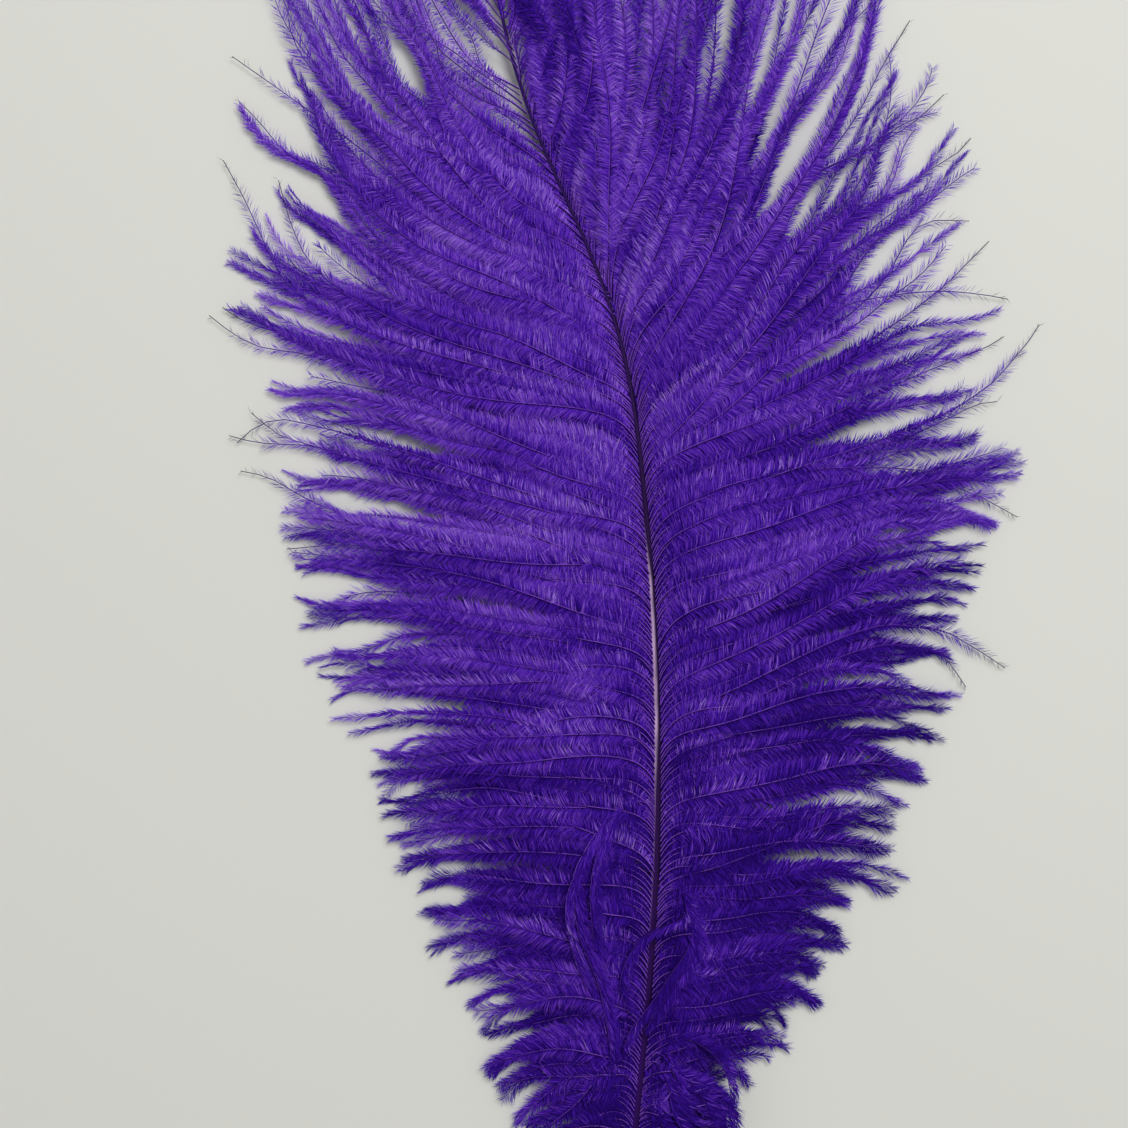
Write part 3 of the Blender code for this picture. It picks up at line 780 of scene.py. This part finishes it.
# %% [markdown]
# ## One barbule
#
# A barbule is a soft strand about 4 mm long and thinner than a hair. A round tube would be true to
# life, but hundreds of thousands are needed, so each is a blade of two triangles, widest before
# its middle and folded there, so that it rises from the rib and droops at its point. It is drawn
# 0.19 mm wide, many times wider than life, so that it still shows in a picture of the whole plume
# and stands for its neighbours. Under them lies the down that a plume is so deep with: one broad,
# dark triangle stands for a dozen strands.

# %% The blades
def blade_object(name, points, faces, reach, edge):
    """A blade 1 long along X and 1 wide, facing up, with attributes for its colour map."""
    mesh = bpy.data.meshes.new(name)
    mesh.from_pydata(points, [], faces)
    for key, value in (("blade_reach", reach), ("blade_edge", edge)):
        mesh.attributes.new(key, "FLOAT", "POINT").data.foreach_set("value", value)
    return put_in_scene(name, mesh)


BLADE_BEND = 1.0  # in blade widths
blades = {}
for hand, bend in (("Left", BLADE_BEND), ("Right", -BLADE_BEND)):
    side_shift = -0.1 * bend
    blades[hand] = blade_object(
        hand + "_blade",
        [(0, 0, 0), (0.42, side_shift - 0.5, 0.1), (0.42, side_shift + 0.5, 0.1), (1, bend, 0)],
        [(0, 1, 2), (1, 3, 2)], [0, 0.42, 0.42, 1], [0.5, 0, 1, 0.5],
    )
blades["Down"] = blade_object("down_blade", [(0, -0.5, 0), (1, 0, 0), (0, 0.5, 0)], [(0, 1, 2)],
                              [0, 1, 0], [0, 0.5, 1])
print("blades:", {name: len(blade.data.polygons) for name, blade in blades.items()}, "faces")

# %% [markdown]
# ## The dye
#
# Ostrich plumes are bleached white keratin, dyed in an acid bath. The dye takes deeply, so that
# thick places look indigo and thin strands over a pale table look bright violet. The bare tips of
# the longest barbs take less dye and stay slate grey. A pattern in space could tint them, but it
# would cut across the strands, so the colour is read from the barbs' own map: across it runs the
# way along the barb, and up it the rib first and then the barbules, from dark to light.
# Its heights also carry painted light: a highlight along each rib, glints and shade.

# %% The dyed material
# height on the map and colour: the rib's dark and its painted highlight, then the barbules' tones
DYE = [
    (0.0, "#150444"), (0.075, "#150444"), (0.09, "#8A50D8"), (0.15, "#9C60E8"), (0.18, "#1A0660"),
    (0.4, "#4A19B6"), (0.6, "#783AD6"), (0.8, "#A268EA"), (1.0, "#C098F8"),
]
RIB_TOP = 0.165  # height on the map below which the rib lies
YOUNG_RIB, SLATE = "#6430BC", "#3A3A48"
LET_THROUGH = 0.3  # share of the light that comes through


def dyed_barbs():
    """Acid-dyed keratin: the bath makes it saturated all through, and the thin strands give it a
    soft sheen and let light through. Its map also holds painted light: a highlight on each rib,
    glints on the barbules and shade."""
    made = bpy.data.materials.new("acid_dyed_keratin")
    made.use_nodes = True
    tree = made.node_tree
    tree.nodes.clear()
    place = add(tree, "ShaderNodeUVMap", uv_map="OFBake")
    parts = add(tree, "ShaderNodeSeparateXYZ", {"Vector": place})
    tones = add(tree, "ShaderNodeValToRGB", {"Fac": parts.outputs["Y"]},
                stops=[(height, linear(colour)) for height, colour in DYE])
    # the rib is nearly black at the shaft and thin enough near its tip to look violet
    is_rib = add(tree, "ShaderNodeMath", {0: parts.outputs["Y"], 1: RIB_TOP}, operation="LESS_THAN")
    young = add(tree, "ShaderNodeMapRange", {
        "Value": parts.outputs["X"], "From Min": 0.3, "From Max": 0.75, "To Max": 0.85,
    })
    young = add(tree, "ShaderNodeMath", {0: young, 1: is_rib}, operation="MULTIPLY")
    tones = add(tree, "ShaderNodeMix", {
        "Factor": young, 6: tones, 7: linear(YOUNG_RIB),
    }, data_type="RGBA").outputs[2]
    bare = add(tree, "ShaderNodeMapRange", {
        "Value": parts.outputs["X"], "From Min": 0.87, "From Max": 0.98, "To Max": 0.9,
    })
    colour = add(tree, "ShaderNodeMix", {
        "Factor": bare, 6: tones, 7: linear(SLATE),
    }, data_type="RGBA").outputs[2]
    body = add(tree, "ShaderNodeBsdfPrincipled", {
        "Base Color": colour, "Roughness": 0.6, "IOR": 1.54, "Specular IOR Level": 0.3,
        "Specular Tint": linear("#8048D8"),
    })
    through_it = add(tree, "ShaderNodeBsdfTranslucent", {"Color": colour})
    both = add(tree, "ShaderNodeMixShader", {0: LET_THROUGH, 1: body, 2: through_it})
    add(tree, "ShaderNodeOutputMaterial", {"Surface": both})
    return made


barb_material = dyed_barbs()
print("dyed keratin:", len(barb_material.node_tree.nodes), "nodes")

# %% [markdown]
# ## Dress the barbs with Geometry Nodes
#
# Barbules could be hair or particles, but the export drops both, and a node tree gives real blades
# that can be counted. It turns each line into a curve. One branch sweeps a small square along it,
# set on its edge, for the rib. The other drops points along it at an even spacing and puts a blade
# on each, first on one side and then on the other, and then the broad blades of the down, further
# apart and lower. A blade turns away from the barb by an opening angle that closes towards the tip,
# and a noise makes neighbours lean together, as real barbules do. Those on the side of the plume's
# tip ride up over the next barb, and catch the light.
# Their glints are also painted: those barbules get a lighter tone on the colour map.

# %% The ribs
RIB_MIDDLE = 0.075  # height on the map of a rib's top and underside


def barb_ribs(tree, curve):
    """A square tube on its edge along each barb, thinner towards the tip, with a painted highlight
    along its upper edge.
    """
    ring = add(tree, "GeometryNodeCurvePrimitiveCircle", {"Resolution": 4, "Radius": 1.0})
    around = add(tree, "GeometryNodeSplineParameter").outputs["Factor"]
    ring = add(tree, "GeometryNodeStoreNamedAttribute", {
        "Geometry": ring, "Name": "around", "Value": around,
    }, data_type="FLOAT", domain="POINT")
    along, thick, around, upper = (
        add(tree, "GeometryNodeInputNamedAttribute", {"Name": name}, data_type="FLOAT")
        for name in ("along", "rib", "around", "upper_side")
    )
    rib = add(tree, "GeometryNodeCurveToMesh", {
        "Curve": curve, "Profile Curve": ring, "Scale": thick, "Fill Caps": True,
    })
    rib = add(tree, "GeometryNodeSetShadeSmooth", {0: rib, "Shade Smooth": False})
    # 1 on the edge that faces the plume's tip, where the highlight is painted, 0 on top and below,
    # -1 on the other edge
    turn = add(tree, "ShaderNodeMath", {0: around, 1: upper}, operation="SUBTRACT")
    turn = add(tree, "ShaderNodeMath", {0: turn, 1: 2 * math.pi}, operation="MULTIPLY")
    turn = add(tree, "ShaderNodeMath", {0: turn}, operation="COSINE")
    up = add(tree, "ShaderNodeMath", {0: turn, 1: 0.065, 2: RIB_MIDDLE}, operation="MULTIPLY_ADD")
    spot = add(tree, "ShaderNodeCombineXYZ", {0: along, 1: up})
    return add(tree, "GeometryNodeStoreNamedAttribute", {
        "Geometry": rib, "Name": "OFBake", "Value": spot,
    }, data_type="FLOAT2", domain="CORNER")


print("ribs lie below", RIB_TOP, "on the map")

# %% Chances, directions and tones of the barbules
LEAN_SIZE = 4.0  # mm, size of the patches of barbules that lean together
LEAN = 1.8  # rad, between the furthest leans
CHANCES = {  # lowest and highest of each random draw
    "stay": (0, 1), "turn": (-0.15, 0.15), "rise": (-0.12, 0.12), "tilt_x": (-0.4, 0.4),
    "tilt_y": (-0.4, 0.4), "length": (0.7, 1.2), "width": (0.75, 1.25), "tone": (-0.2, 0.15),
    "glint": (0, 1),
}
DARKEST, LIGHTEST = 0.19, 0.85  # heights on the map between which a barbule's root lies
POINT_LIGHTER = 0.14  # how much higher its point lies
BLADE_ACROSS = 0.015  # its width on the map


def draw_chances(tree, given, way):
    """A random value of each kind for every barbule of one side."""
    chance = {}
    for i, (name, (low, high)) in enumerate(CHANCES.items()):
        seed = add(tree, "ShaderNodeMath", {0: given["Seed"], 1: 20 * way + i})
        drawn = add(tree, "FunctionNodeRandomValue", {2: low, 3: high, "Seed": seed},
                    data_type="FLOAT")
        chance[name] = drawn.outputs[1]
    return chance


def blade_turn(tree, points, way, chance, opening, combed, rise, sink):
    """The turn that aims a blade away from its barb and faces it upwards."""
    spot = add(tree, "GeometryNodeInputPosition")
    lean = add(tree, "ShaderNodeTexNoise", {
        "Vector": spot, "Scale": 1 / (LEAN_SIZE * MM), "Detail": 3.0,
    })
    lean = add(tree, "ShaderNodeMath", {0: lean, 1: LEAN, 2: -LEAN / 2}, operation="MULTIPLY_ADD")
    # barbules that are shut against their barb hardly lean
    loose = add(tree, "ShaderNodeMapRange", {
        "Value": opening, "From Max": TIP_ANGLE, "To Min": 0.15,
    })
    angle = add(tree, "ShaderNodeMath", {0: lean, 1: loose, 2: opening}, operation="MULTIPLY_ADD")
    angle = add(tree, "ShaderNodeMath", {0: angle, 1: chance["turn"]})
    angle = add(tree, "ShaderNodeMath", {0: angle, 1: way, 2: combed}, operation="MULTIPLY_ADD")
    turned = add(tree, "ShaderNodeVectorRotate", {
        "Vector": points.outputs["Tangent"], "Angle": angle,
    }, rotation_type="Z_AXIS")
    rise = add(tree, "ShaderNodeMath", {0: rise, 1: chance["rise"]})
    rise = add(tree, "ShaderNodeMath", {0: rise, 1: sink}, operation="SUBTRACT")
    aim = add(tree, "ShaderNodeVectorMath", {
        0: turned, 1: add(tree, "ShaderNodeCombineXYZ", {2: rise}),
    }, operation="ADD")
    facing = add(tree, "ShaderNodeCombineXYZ", {0: chance["tilt_x"], 1: chance["tilt_y"], 2: 1.0})
    return add(tree, "FunctionNodeAxesToRotation", {0: aim, 1: facing},
               primary_axis="X", secondary_axis="Z")


def blade_size(tree, along, full, length, width, chance):
    """Length and width of a blade; the width narrows to about half towards the barb's tip."""
    long = add(tree, "ShaderNodeMath", {0: length, 1: full}, operation="MULTIPLY")
    long = add(tree, "ShaderNodeMath", {0: long, 1: chance["length"]}, operation="MULTIPLY")
    wide = add(tree, "ShaderNodeMath", {0: width, 1: chance["width"]}, operation="MULTIPLY")
    narrowing = add(tree, "ShaderNodeMapRange", {
        "Value": along, "From Min": 0.5, "From Max": 0.95, "To Min": 1.0, "To Max": 0.55,
    })
    wide = add(tree, "ShaderNodeMath", {0: wide, 1: narrowing}, operation="MULTIPLY")
    return add(tree, "ShaderNodeCombineXYZ", {0: long, 1: wide, 2: long})


def blade_tone(tree, tone, glint, chance, dark):
    """Height of a blade on the map: a power leaves most dark and gives few a painted glint."""
    lucky = add(tree, "ShaderNodeMath", {0: chance["glint"], 1: 2.3}, operation="POWER")
    tone = add(tree, "ShaderNodeMath", {0: glint, 1: lucky, 2: tone}, operation="MULTIPLY_ADD")
    tone = add(tree, "ShaderNodeMath", {0: tone, 1: chance["tone"]})
    tone = add(tree, "ShaderNodeMath", {0: tone, 1: dark}, operation="SUBTRACT")
    return add(tree, "ShaderNodeClamp", {"Value": tone, "Min": DARKEST, "Max": LIGHTEST})


print("random draws for each barbule:", len(CHANCES))


# %% The barbules of one side
def barbules(tree, given, points, way, blade, length, width, full="full", sink=0.0, dark=0.0):
    """Blades on one side of every barb: the left of its direction if way is 1, the right if -1."""
    hand = "left" if way > 0 else "right"
    names = ("along", full, "keep", "open", "combed", "tone", "rise_" + hand, "glint_" + hand)
    along, full, keep, opening, combed, tone, rise, glint = (
        add(tree, "GeometryNodeInputNamedAttribute", {"Name": name}, data_type="FLOAT")
        for name in names
    )
    chance = draw_chances(tree, given, way)
    height = blade_tone(tree, tone, glint, chance, dark)
    toned = add(tree, "GeometryNodeStoreNamedAttribute", {
        "Geometry": points, "Name": "blade_tone", "Value": height,
    }, data_type="FLOAT", domain="POINT")
    shape = add(tree, "GeometryNodeObjectInfo", {"Object": given[blade]})
    stays = add(tree, "ShaderNodeMath", {0: chance["stay"], 1: keep}, operation="LESS_THAN")
    made = add(tree, "GeometryNodeInstanceOnPoints", {
        "Points": toned, "Instance": shape.outputs["Geometry"], "Selection": stays,
        "Rotation": blade_turn(tree, points, way, chance, opening, combed, rise, sink),
        "Scale": blade_size(tree, along, full, length, width, chance),
    })
    made = add(tree, "GeometryNodeRealizeInstances", {"Geometry": made})
    edge, reach, lightness = (
        add(tree, "GeometryNodeInputNamedAttribute", {"Name": name}, data_type="FLOAT")
        for name in ("blade_edge", "blade_reach", "blade_tone")
    )
    across = add(tree, "ShaderNodeMath", {0: edge, 1: BLADE_ACROSS, 2: along},
                 operation="MULTIPLY_ADD")
    up = add(tree, "ShaderNodeMath", {0: reach, 1: POINT_LIGHTER, 2: lightness},
             operation="MULTIPLY_ADD")
    spot = add(tree, "ShaderNodeCombineXYZ", {0: across, 1: up})
    return add(tree, "GeometryNodeStoreNamedAttribute", {
        "Geometry": made, "Name": "OFBake", "Value": spot,
    }, data_type="FLOAT2", domain="CORNER")


print("a barbule's dye lies between", DARKEST, "and", round(LIGHTEST + POINT_LIGHTER, 2),
      "on the map")

# %% The whole tree
FLOOR_GAP = 0.05  # mm, the lowest that any strand may lie


def dress_barbs():
    tree = bpy.data.node_groups.new("dress_barbs", "GeometryNodeTree")
    face = tree.interface
    sockets = [("Geometry", "Geometry"), ("Spacing", "Float"), ("Barbule length", "Float"),
               ("Barbule width", "Float"), ("Down spacing", "Float"), ("Down width", "Float"),
               ("Left blade", "Object"), ("Right blade", "Object"), ("Down blade", "Object"),
               ("Seed", "Int"), ("Material", "Material")]
    for name, kind in sockets:
        face.new_socket(name, in_out="INPUT", socket_type="NodeSocket" + kind)
    face.new_socket("Geometry", in_out="OUTPUT", socket_type="NodeSocketGeometry")
    given = add(tree, "NodeGroupInput").outputs

    curve = add(tree, "GeometryNodeMeshToCurve", {"Mesh": given["Geometry"]})
    curve = add(tree, "GeometryNodeSetCurveNormal", {"Curve": curve}, mode="Z_UP")
    points = add(tree, "GeometryNodeCurveToPoints", {"Curve": curve, "Length": given["Spacing"]},
                 mode="LENGTH")
    fewer = add(tree, "GeometryNodeCurveToPoints", {
        "Curve": curve, "Length": given["Down spacing"],
    }, mode="LENGTH")
    together = add(tree, "GeometryNodeJoinGeometry", {0: barb_ribs(tree, curve)})
    length = given["Barbule length"]
    for way, blade in ((1, "Left blade"), (-1, "Right blade")):
        strands = barbules(tree, given, points, way, blade, length, given["Barbule width"])
        down = barbules(tree, given, fewer, way, "Down blade", length, given["Down width"],
                        full="down", sink=0.25, dark=0.12)
        for made in (strands, down):
            tree.links.new(made.outputs[0], together.inputs[0])
    real = add(tree, "GeometryNodeRealizeInstances", {"Geometry": together})
    above = add(tree, "ShaderNodeVectorMath", {
        0: add(tree, "GeometryNodeInputPosition"), 1: (-1, -1, FLOOR_GAP * MM),
    }, operation="MAXIMUM")
    lying = add(tree, "GeometryNodeSetPosition", {"Geometry": real, "Position": above})
    dressed = add(tree, "GeometryNodeSetMaterial", {
        "Geometry": lying, "Material": given["Material"],
    })
    add(tree, "NodeGroupOutput", {"Geometry": dressed})
    return tree


dress = dress_barbs()
print("barb tree:", len(dress.nodes), "nodes")

# %% [markdown]
# ## Split the vanes into pieces and dress them
#
# All the barbs as one mesh would be too heavy to handle, and a mesh for each barb would be hundreds
# of pieces, so each vane is dressed in four stretches of the shaft. The modifier's result is kept
# as a plain mesh and the modifier goes, because what leaves Blender has to be real triangles.

# %% Sizes of the barbules, in millimetres
BARBULE_SPACING = 0.205
BARBULE_LENGTH = 4.1
BARBULE_WIDTH = 0.19
DOWN_SPACING, DOWN_WIDTH = 0.85, 1.2
STRETCHES = ["base", "lower", "upper", "crown"]
print("a barbule every", BARBULE_SPACING, "mm on each side, and down every", DOWN_SPACING, "mm")


# %% Dress every stretch
def dressed_piece(name, side, barbs, seed):
    lines = lines_object(name + "_lines", side, barbs, np.random.default_rng(seed))
    modifier = lines.modifiers.new("dress", "NODES")
    modifier.node_group = dress
    values = {
        "Spacing": BARBULE_SPACING * MM, "Barbule length": BARBULE_LENGTH * MM,
        "Barbule width": BARBULE_WIDTH * MM, "Down spacing": DOWN_SPACING * MM,
        "Down width": DOWN_WIDTH * MM, "Left blade": blades["Left"], "Right blade": blades["Right"],
        "Down blade": blades["Down"], "Seed": seed, "Material": barb_material,
    }
    for socket in dress.interface.items_tree:
        if socket.in_out == "INPUT" and socket.name in values:
            modifier[socket.identifier] = values[socket.name]
    bpy.context.view_layer.update()
    ready = lines.evaluated_get(bpy.context.evaluated_depsgraph_get())
    mesh = bpy.data.meshes.new_from_object(ready)
    mesh.name = name
    bpy.data.objects.remove(lines, do_unlink=True)
    return put_in_scene(name, mesh)


def triangles(thing):
    thing.data.calc_loop_triangles()
    return len(thing.data.loop_triangles)


def in_stretches(barbs):
    """Four lists of barbs with about the same length of barb in each, from the base up."""
    barbs = sorted(barbs, key=lambda one: one["root_y"])
    so_far = np.cumsum([length_of(one["line"]) for one in barbs])
    which = np.minimum(so_far / so_far[-1] * len(STRETCHES), len(STRETCHES) - 1e-6).astype(int)
    return [[one for one, part in zip(barbs, which) if part == i] for i in range(len(STRETCHES))]


pieces = []
for side, name in ((LEFT, "left"), (RIGHT, "right")):
    for stretch, barbs in zip(STRETCHES, in_stretches(vanes[side])):
        piece = dressed_piece(f"{name}_barbs_{stretch}", side, barbs, SEED + 100 * len(pieces))
        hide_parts(name + "_vane")
        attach(piece, "root")
        pieces.append(piece)
        print(piece.name, len(barbs), "barbs", triangles(piece), "triangles")
for blade in blades.values():
    bpy.data.objects.remove(blade, do_unlink=True)
print("barbs in all:", sum(triangles(piece) for piece in pieces), "triangles")

# %% [markdown]
# ## The shaft
#
# The quill is a hollow horn tube that narrows into the solid rachis. Its top is rounded and its
# sides are almost flat. A curve with a bevel could make it, but its section would be an even circle
# and its map would have no fixed side. So rings of points on the shaft's table make a finer skin of
# the same size as the solid, closed at both ends.

# %% The shaft's skin
RING, RINGS = 28, 190  # points in a ring, and rings
SIDE_ROUNDING = 0.85  # below 1 the sides are a little flatter than a circle's
END_SIZE = 0.004  # of an end's face on the map


def shaft_mesh():
    ys = np.linspace(SHAFT[0, 0], SHAFT[-1, 0], RINGS)
    # a slow curve through the table, so that the shaft has no corners
    table = [np.convolve(np.pad(np.interp(ys, SHAFT[:, 0], SHAFT[:, i]), 8, mode="edge"),
                         np.ones(17) / 17, mode="valid") for i in (1, 2, 3)]
    angles = np.linspace(0, 2 * math.pi, RING, endpoint=False)
    # the angle starts under the shaft and runs up its left side, over the top and down the right
    ring_x = -np.sin(angles)
    ring_z = -np.cos(angles)
    ring_x = np.sign(ring_x) * np.abs(ring_x) ** SIDE_ROUNDING
    points = []
    for y, x, height, radius in zip(ys, *table):
        step = radius * MM
        for a, b in zip(ring_x, ring_z):
            points.append((x * MM + a * step, y * MM, max(height * MM + b * step, 0)))
    faces, spots = [], []
    for i in range(RINGS - 1):
        for j in range(RING):
            k = (j + 1) % RING
            faces.append((i * RING + j, i * RING + k, (i + 1) * RING + k, (i + 1) * RING + j))
            low, high = i / (RINGS - 1), (i + 1) / (RINGS - 1)
            spots += [(low, j / RING), (low, (j + 1) / RING),
                      (high, (j + 1) / RING), (high, j / RING)]
    for i, step in ((0, -1), (RINGS - 1, 1)):
        rim = [i * RING + j for j in range(RING)][::step]
        faces.append(rim)
        at = i / (RINGS - 1)
        spots += [(at - step * END_SIZE * (1 + math.cos(angle)), 0.5 + 0.4 * math.sin(angle))
                  for angle in angles][::step]
    mesh = bpy.data.meshes.new("shaft_skin")
    mesh.from_pydata(points, [], faces)
    layer = mesh.uv_layers.new(name="OFBake")
    layer.data.foreach_set("uv", np.clip(np.array(spots), 0.001, 0.999).ravel().astype(np.float32))
    mesh.shade_smooth()
    return mesh


shaft = put_in_scene("shaft_skin", shaft_mesh())
print("shaft:", triangles(shaft), "triangles")

# %% [markdown]
# ## The shaft's finish
#
# Horn takes dye less evenly than the barbs. Towards the base it is deep plum and has a soft gloss.
# In the middle a pale, pinkish band runs along the left of its top, partly horn that the dye left
# pale and partly a painted highlight, with a dark stripe to its right, and towards the tip it is
# nearly black violet. Separate strips of paint would leave hard edges, so ramps along the shaft and
# around it say how strong the band is.

# %% The shaft's material
# way along the shaft, and the horn's colour there
HORN = [(0.0, "#2C0E50"), (0.2, "#300E5C"), (0.4, "#2C1244"), (0.56, "#24103C"), (1.0, "#2C1066")]
# the band's pale colour: partly horn the dye left pale, partly a painted highlight
STRIPE, PALE_AND_HIGHLIGHT = "#140626", "#C8A8D0"
# way along the shaft, and how pale the band is there
BAND = [
    (0.0, 0.1), (0.22, 0.15), (0.28, 0.45), (0.38, 0.6), (0.43, 1.0), (0.52, 0.95), (0.575, 0.0),
]
GROOVE = (0.3, 6, 0.3)  # mm, size of the grooves' grain across, along and up


def dyed_quill():
    """Dyed horn, scraped smooth: a soft gloss that fine grooves along it break up."""
    made = bpy.data.materials.new("dyed_quill_horn")
    made.use_nodes = True
    tree = made.node_tree
    tree.nodes.clear()
    place = add(tree, "ShaderNodeUVMap", uv_map="OFBake")
    parts = add(tree, "ShaderNodeSeparateXYZ", {"Vector": place})
    body = add(tree, "ShaderNodeValToRGB", {"Fac": parts.outputs["X"]},
               stops=[(at, linear(colour)) for at, colour in HORN])
    # where along the shaft the pale band shows, and how far over the top it reaches; the band is
    # partly undyed horn and partly a painted highlight
    band = add(tree, "ShaderNodeValToRGB", {"Fac": parts.outputs["X"]},
               stops=[(at, (strength, strength, strength, 1)) for at, strength in BAND])
    edge = add(tree, "ShaderNodeMath", {0: band, 1: 0.2, 2: 0.31}, operation="MULTIPLY_ADD")
    over = add(tree, "ShaderNodeMath", {0: edge, 1: parts.outputs["Y"]}, operation="SUBTRACT")
    inside = add(tree, "ShaderNodeMapRange", {"Value": over, "From Min": -0.03, "From Max": 0.04})
    side = add(tree, "ShaderNodeMapRange", {
        "Value": parts.outputs["Y"], "From Min": 0.26, "From Max": 0.3,
    })
    pale = add(tree, "ShaderNodeMath", {0: inside, 1: side}, operation="MULTIPLY")
    pale = add(tree, "ShaderNodeMath", {0: pale, 1: band}, operation="MULTIPLY")
    grain_place = add(tree, "ShaderNodeMapping", {
        "Vector": add(tree, "ShaderNodeTexCoord").outputs["Object"],
        "Scale": [1 / (size * MM) for size in GROOVE],
    })
    grain = add(tree, "ShaderNodeTexNoise", {"Vector": grain_place, "Scale": 1.0, "Detail": 3.0})
    worn = add(tree, "ShaderNodeMapRange", {
        "Value": grain, "From Min": 0.35, "From Max": 0.6, "To Min": 0.45, "To Max": 1.0,
    })
    pale = add(tree, "ShaderNodeMath", {0: pale, 1: worn}, operation="MULTIPLY")
    dark = add(tree, "ShaderNodeMapRange", {
        "Value": parts.outputs["Y"], "From Min": 0.46, "From Max": 0.58, "To Max": 0.92,
    })
    body = add(tree, "ShaderNodeMix", {"Factor": dark, 6: body, 7: linear(STRIPE)},
               data_type="RGBA").outputs[2]
    colour = add(tree, "ShaderNodeMix", {"Factor": pale, 6: body, 7: linear(PALE_AND_HIGHLIGHT)},
                 data_type="RGBA").outputs[2]
    bump = add(tree, "ShaderNodeBump", {"Height": grain, "Strength": 0.25, "Distance": 0.05 * MM})
    shader = add(tree, "ShaderNodeBsdfPrincipled", {
        "Base Color": colour, "Roughness": 0.45, "IOR": 1.54, "Specular IOR Level": 0.35,
        "Specular Tint": linear("#8060B0"), "Normal": bump,
    })
    add(tree, "ShaderNodeOutputMaterial", {"Surface": shader})
    return made


shaft.data.materials.append(dyed_quill())
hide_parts("shaft")
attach(shaft, "root")
print("quill horn:", len(shaft.data.materials[0].node_tree.nodes), "nodes")

# %% [markdown]
# ## Floor, light and camera
#
# The plume lies on a plain pale card and is seen from straight above. Window light would draw hard
# edges under every barb, and light from all round none, so one large soft lamp on the upper right
# gives them short, soft shadows, and a pale sky fills in.

# %% Floor
FLOOR_HALF = 1.5  # m


def plain_floor():
    mesh = bpy.data.meshes.new("floor")
    corners = [(x * FLOOR_HALF, y * FLOOR_HALF, 0) for x, y in ((-1, -1), (1, -1), (1, 1), (-1, 1))]
    mesh.from_pydata(corners, [], [(0, 1, 2, 3)])
    made = put_in_scene("floor", mesh)
    # matt card: pale and without any gloss
    paint = bpy.data.materials.new("pale_card")
    paint.use_nodes = True
    shader = paint.node_tree.nodes["Principled BSDF"]
    shader.inputs["Base Color"].default_value = linear("#DEDED8")
    shader.inputs["Roughness"].default_value = 0.85
    mesh.materials.append(paint)
    return made


plain_floor()
print("floor:", 2 * FLOOR_HALF, "m across")

# %% Light
LAMP_PLACE, LAMP_SIZE, LAMP_POWER = Vector((0.35, 0.6, 1.25)), 0.7, 11.5  # m, m, W
SKY_COLOUR, SKY_STRENGTH = "#F4F4F2", 0.5

lamp = bpy.data.lights.new("key", "AREA")
lamp.shape = "DISK"
lamp.size = LAMP_SIZE
lamp.energy = LAMP_POWER
lamp = put_in_scene("key", lamp)
lamp.location = LAMP_PLACE
lamp.rotation_euler = (-LAMP_PLACE).to_track_quat("-Z", "Y").to_euler()
world = bpy.data.worlds.new("studio")
bpy.context.scene.world = world
world.use_nodes = True
sky = world.node_tree.nodes["Background"]
sky.inputs["Color"].default_value = linear(SKY_COLOUR)
sky.inputs["Strength"].default_value = SKY_STRENGTH
bpy.context.scene.view_settings.view_transform = "Standard"
print("lamp:", round(LAMP_PLACE.length, 2), "m away")

# %% Camera
CAMERA_OVER = (-15.0, 1.5)  # mm
CAMERA_HEIGHT = 600.0  # mm
FRAME_WIDTH = 282.0  # mm of the card that the picture shows
camera = put_in_scene("camera", bpy.data.cameras.new("camera"))
camera.location = (CAMERA_OVER[0] * MM, CAMERA_OVER[1] * MM, CAMERA_HEIGHT * MM)
camera.data.sensor_width = 36
camera.data.lens = 36 * CAMERA_HEIGHT / FRAME_WIDTH
camera.data.clip_start = 0.01
bpy.context.scene.camera = camera
print("lens:", round(camera.data.lens, 1), "mm")
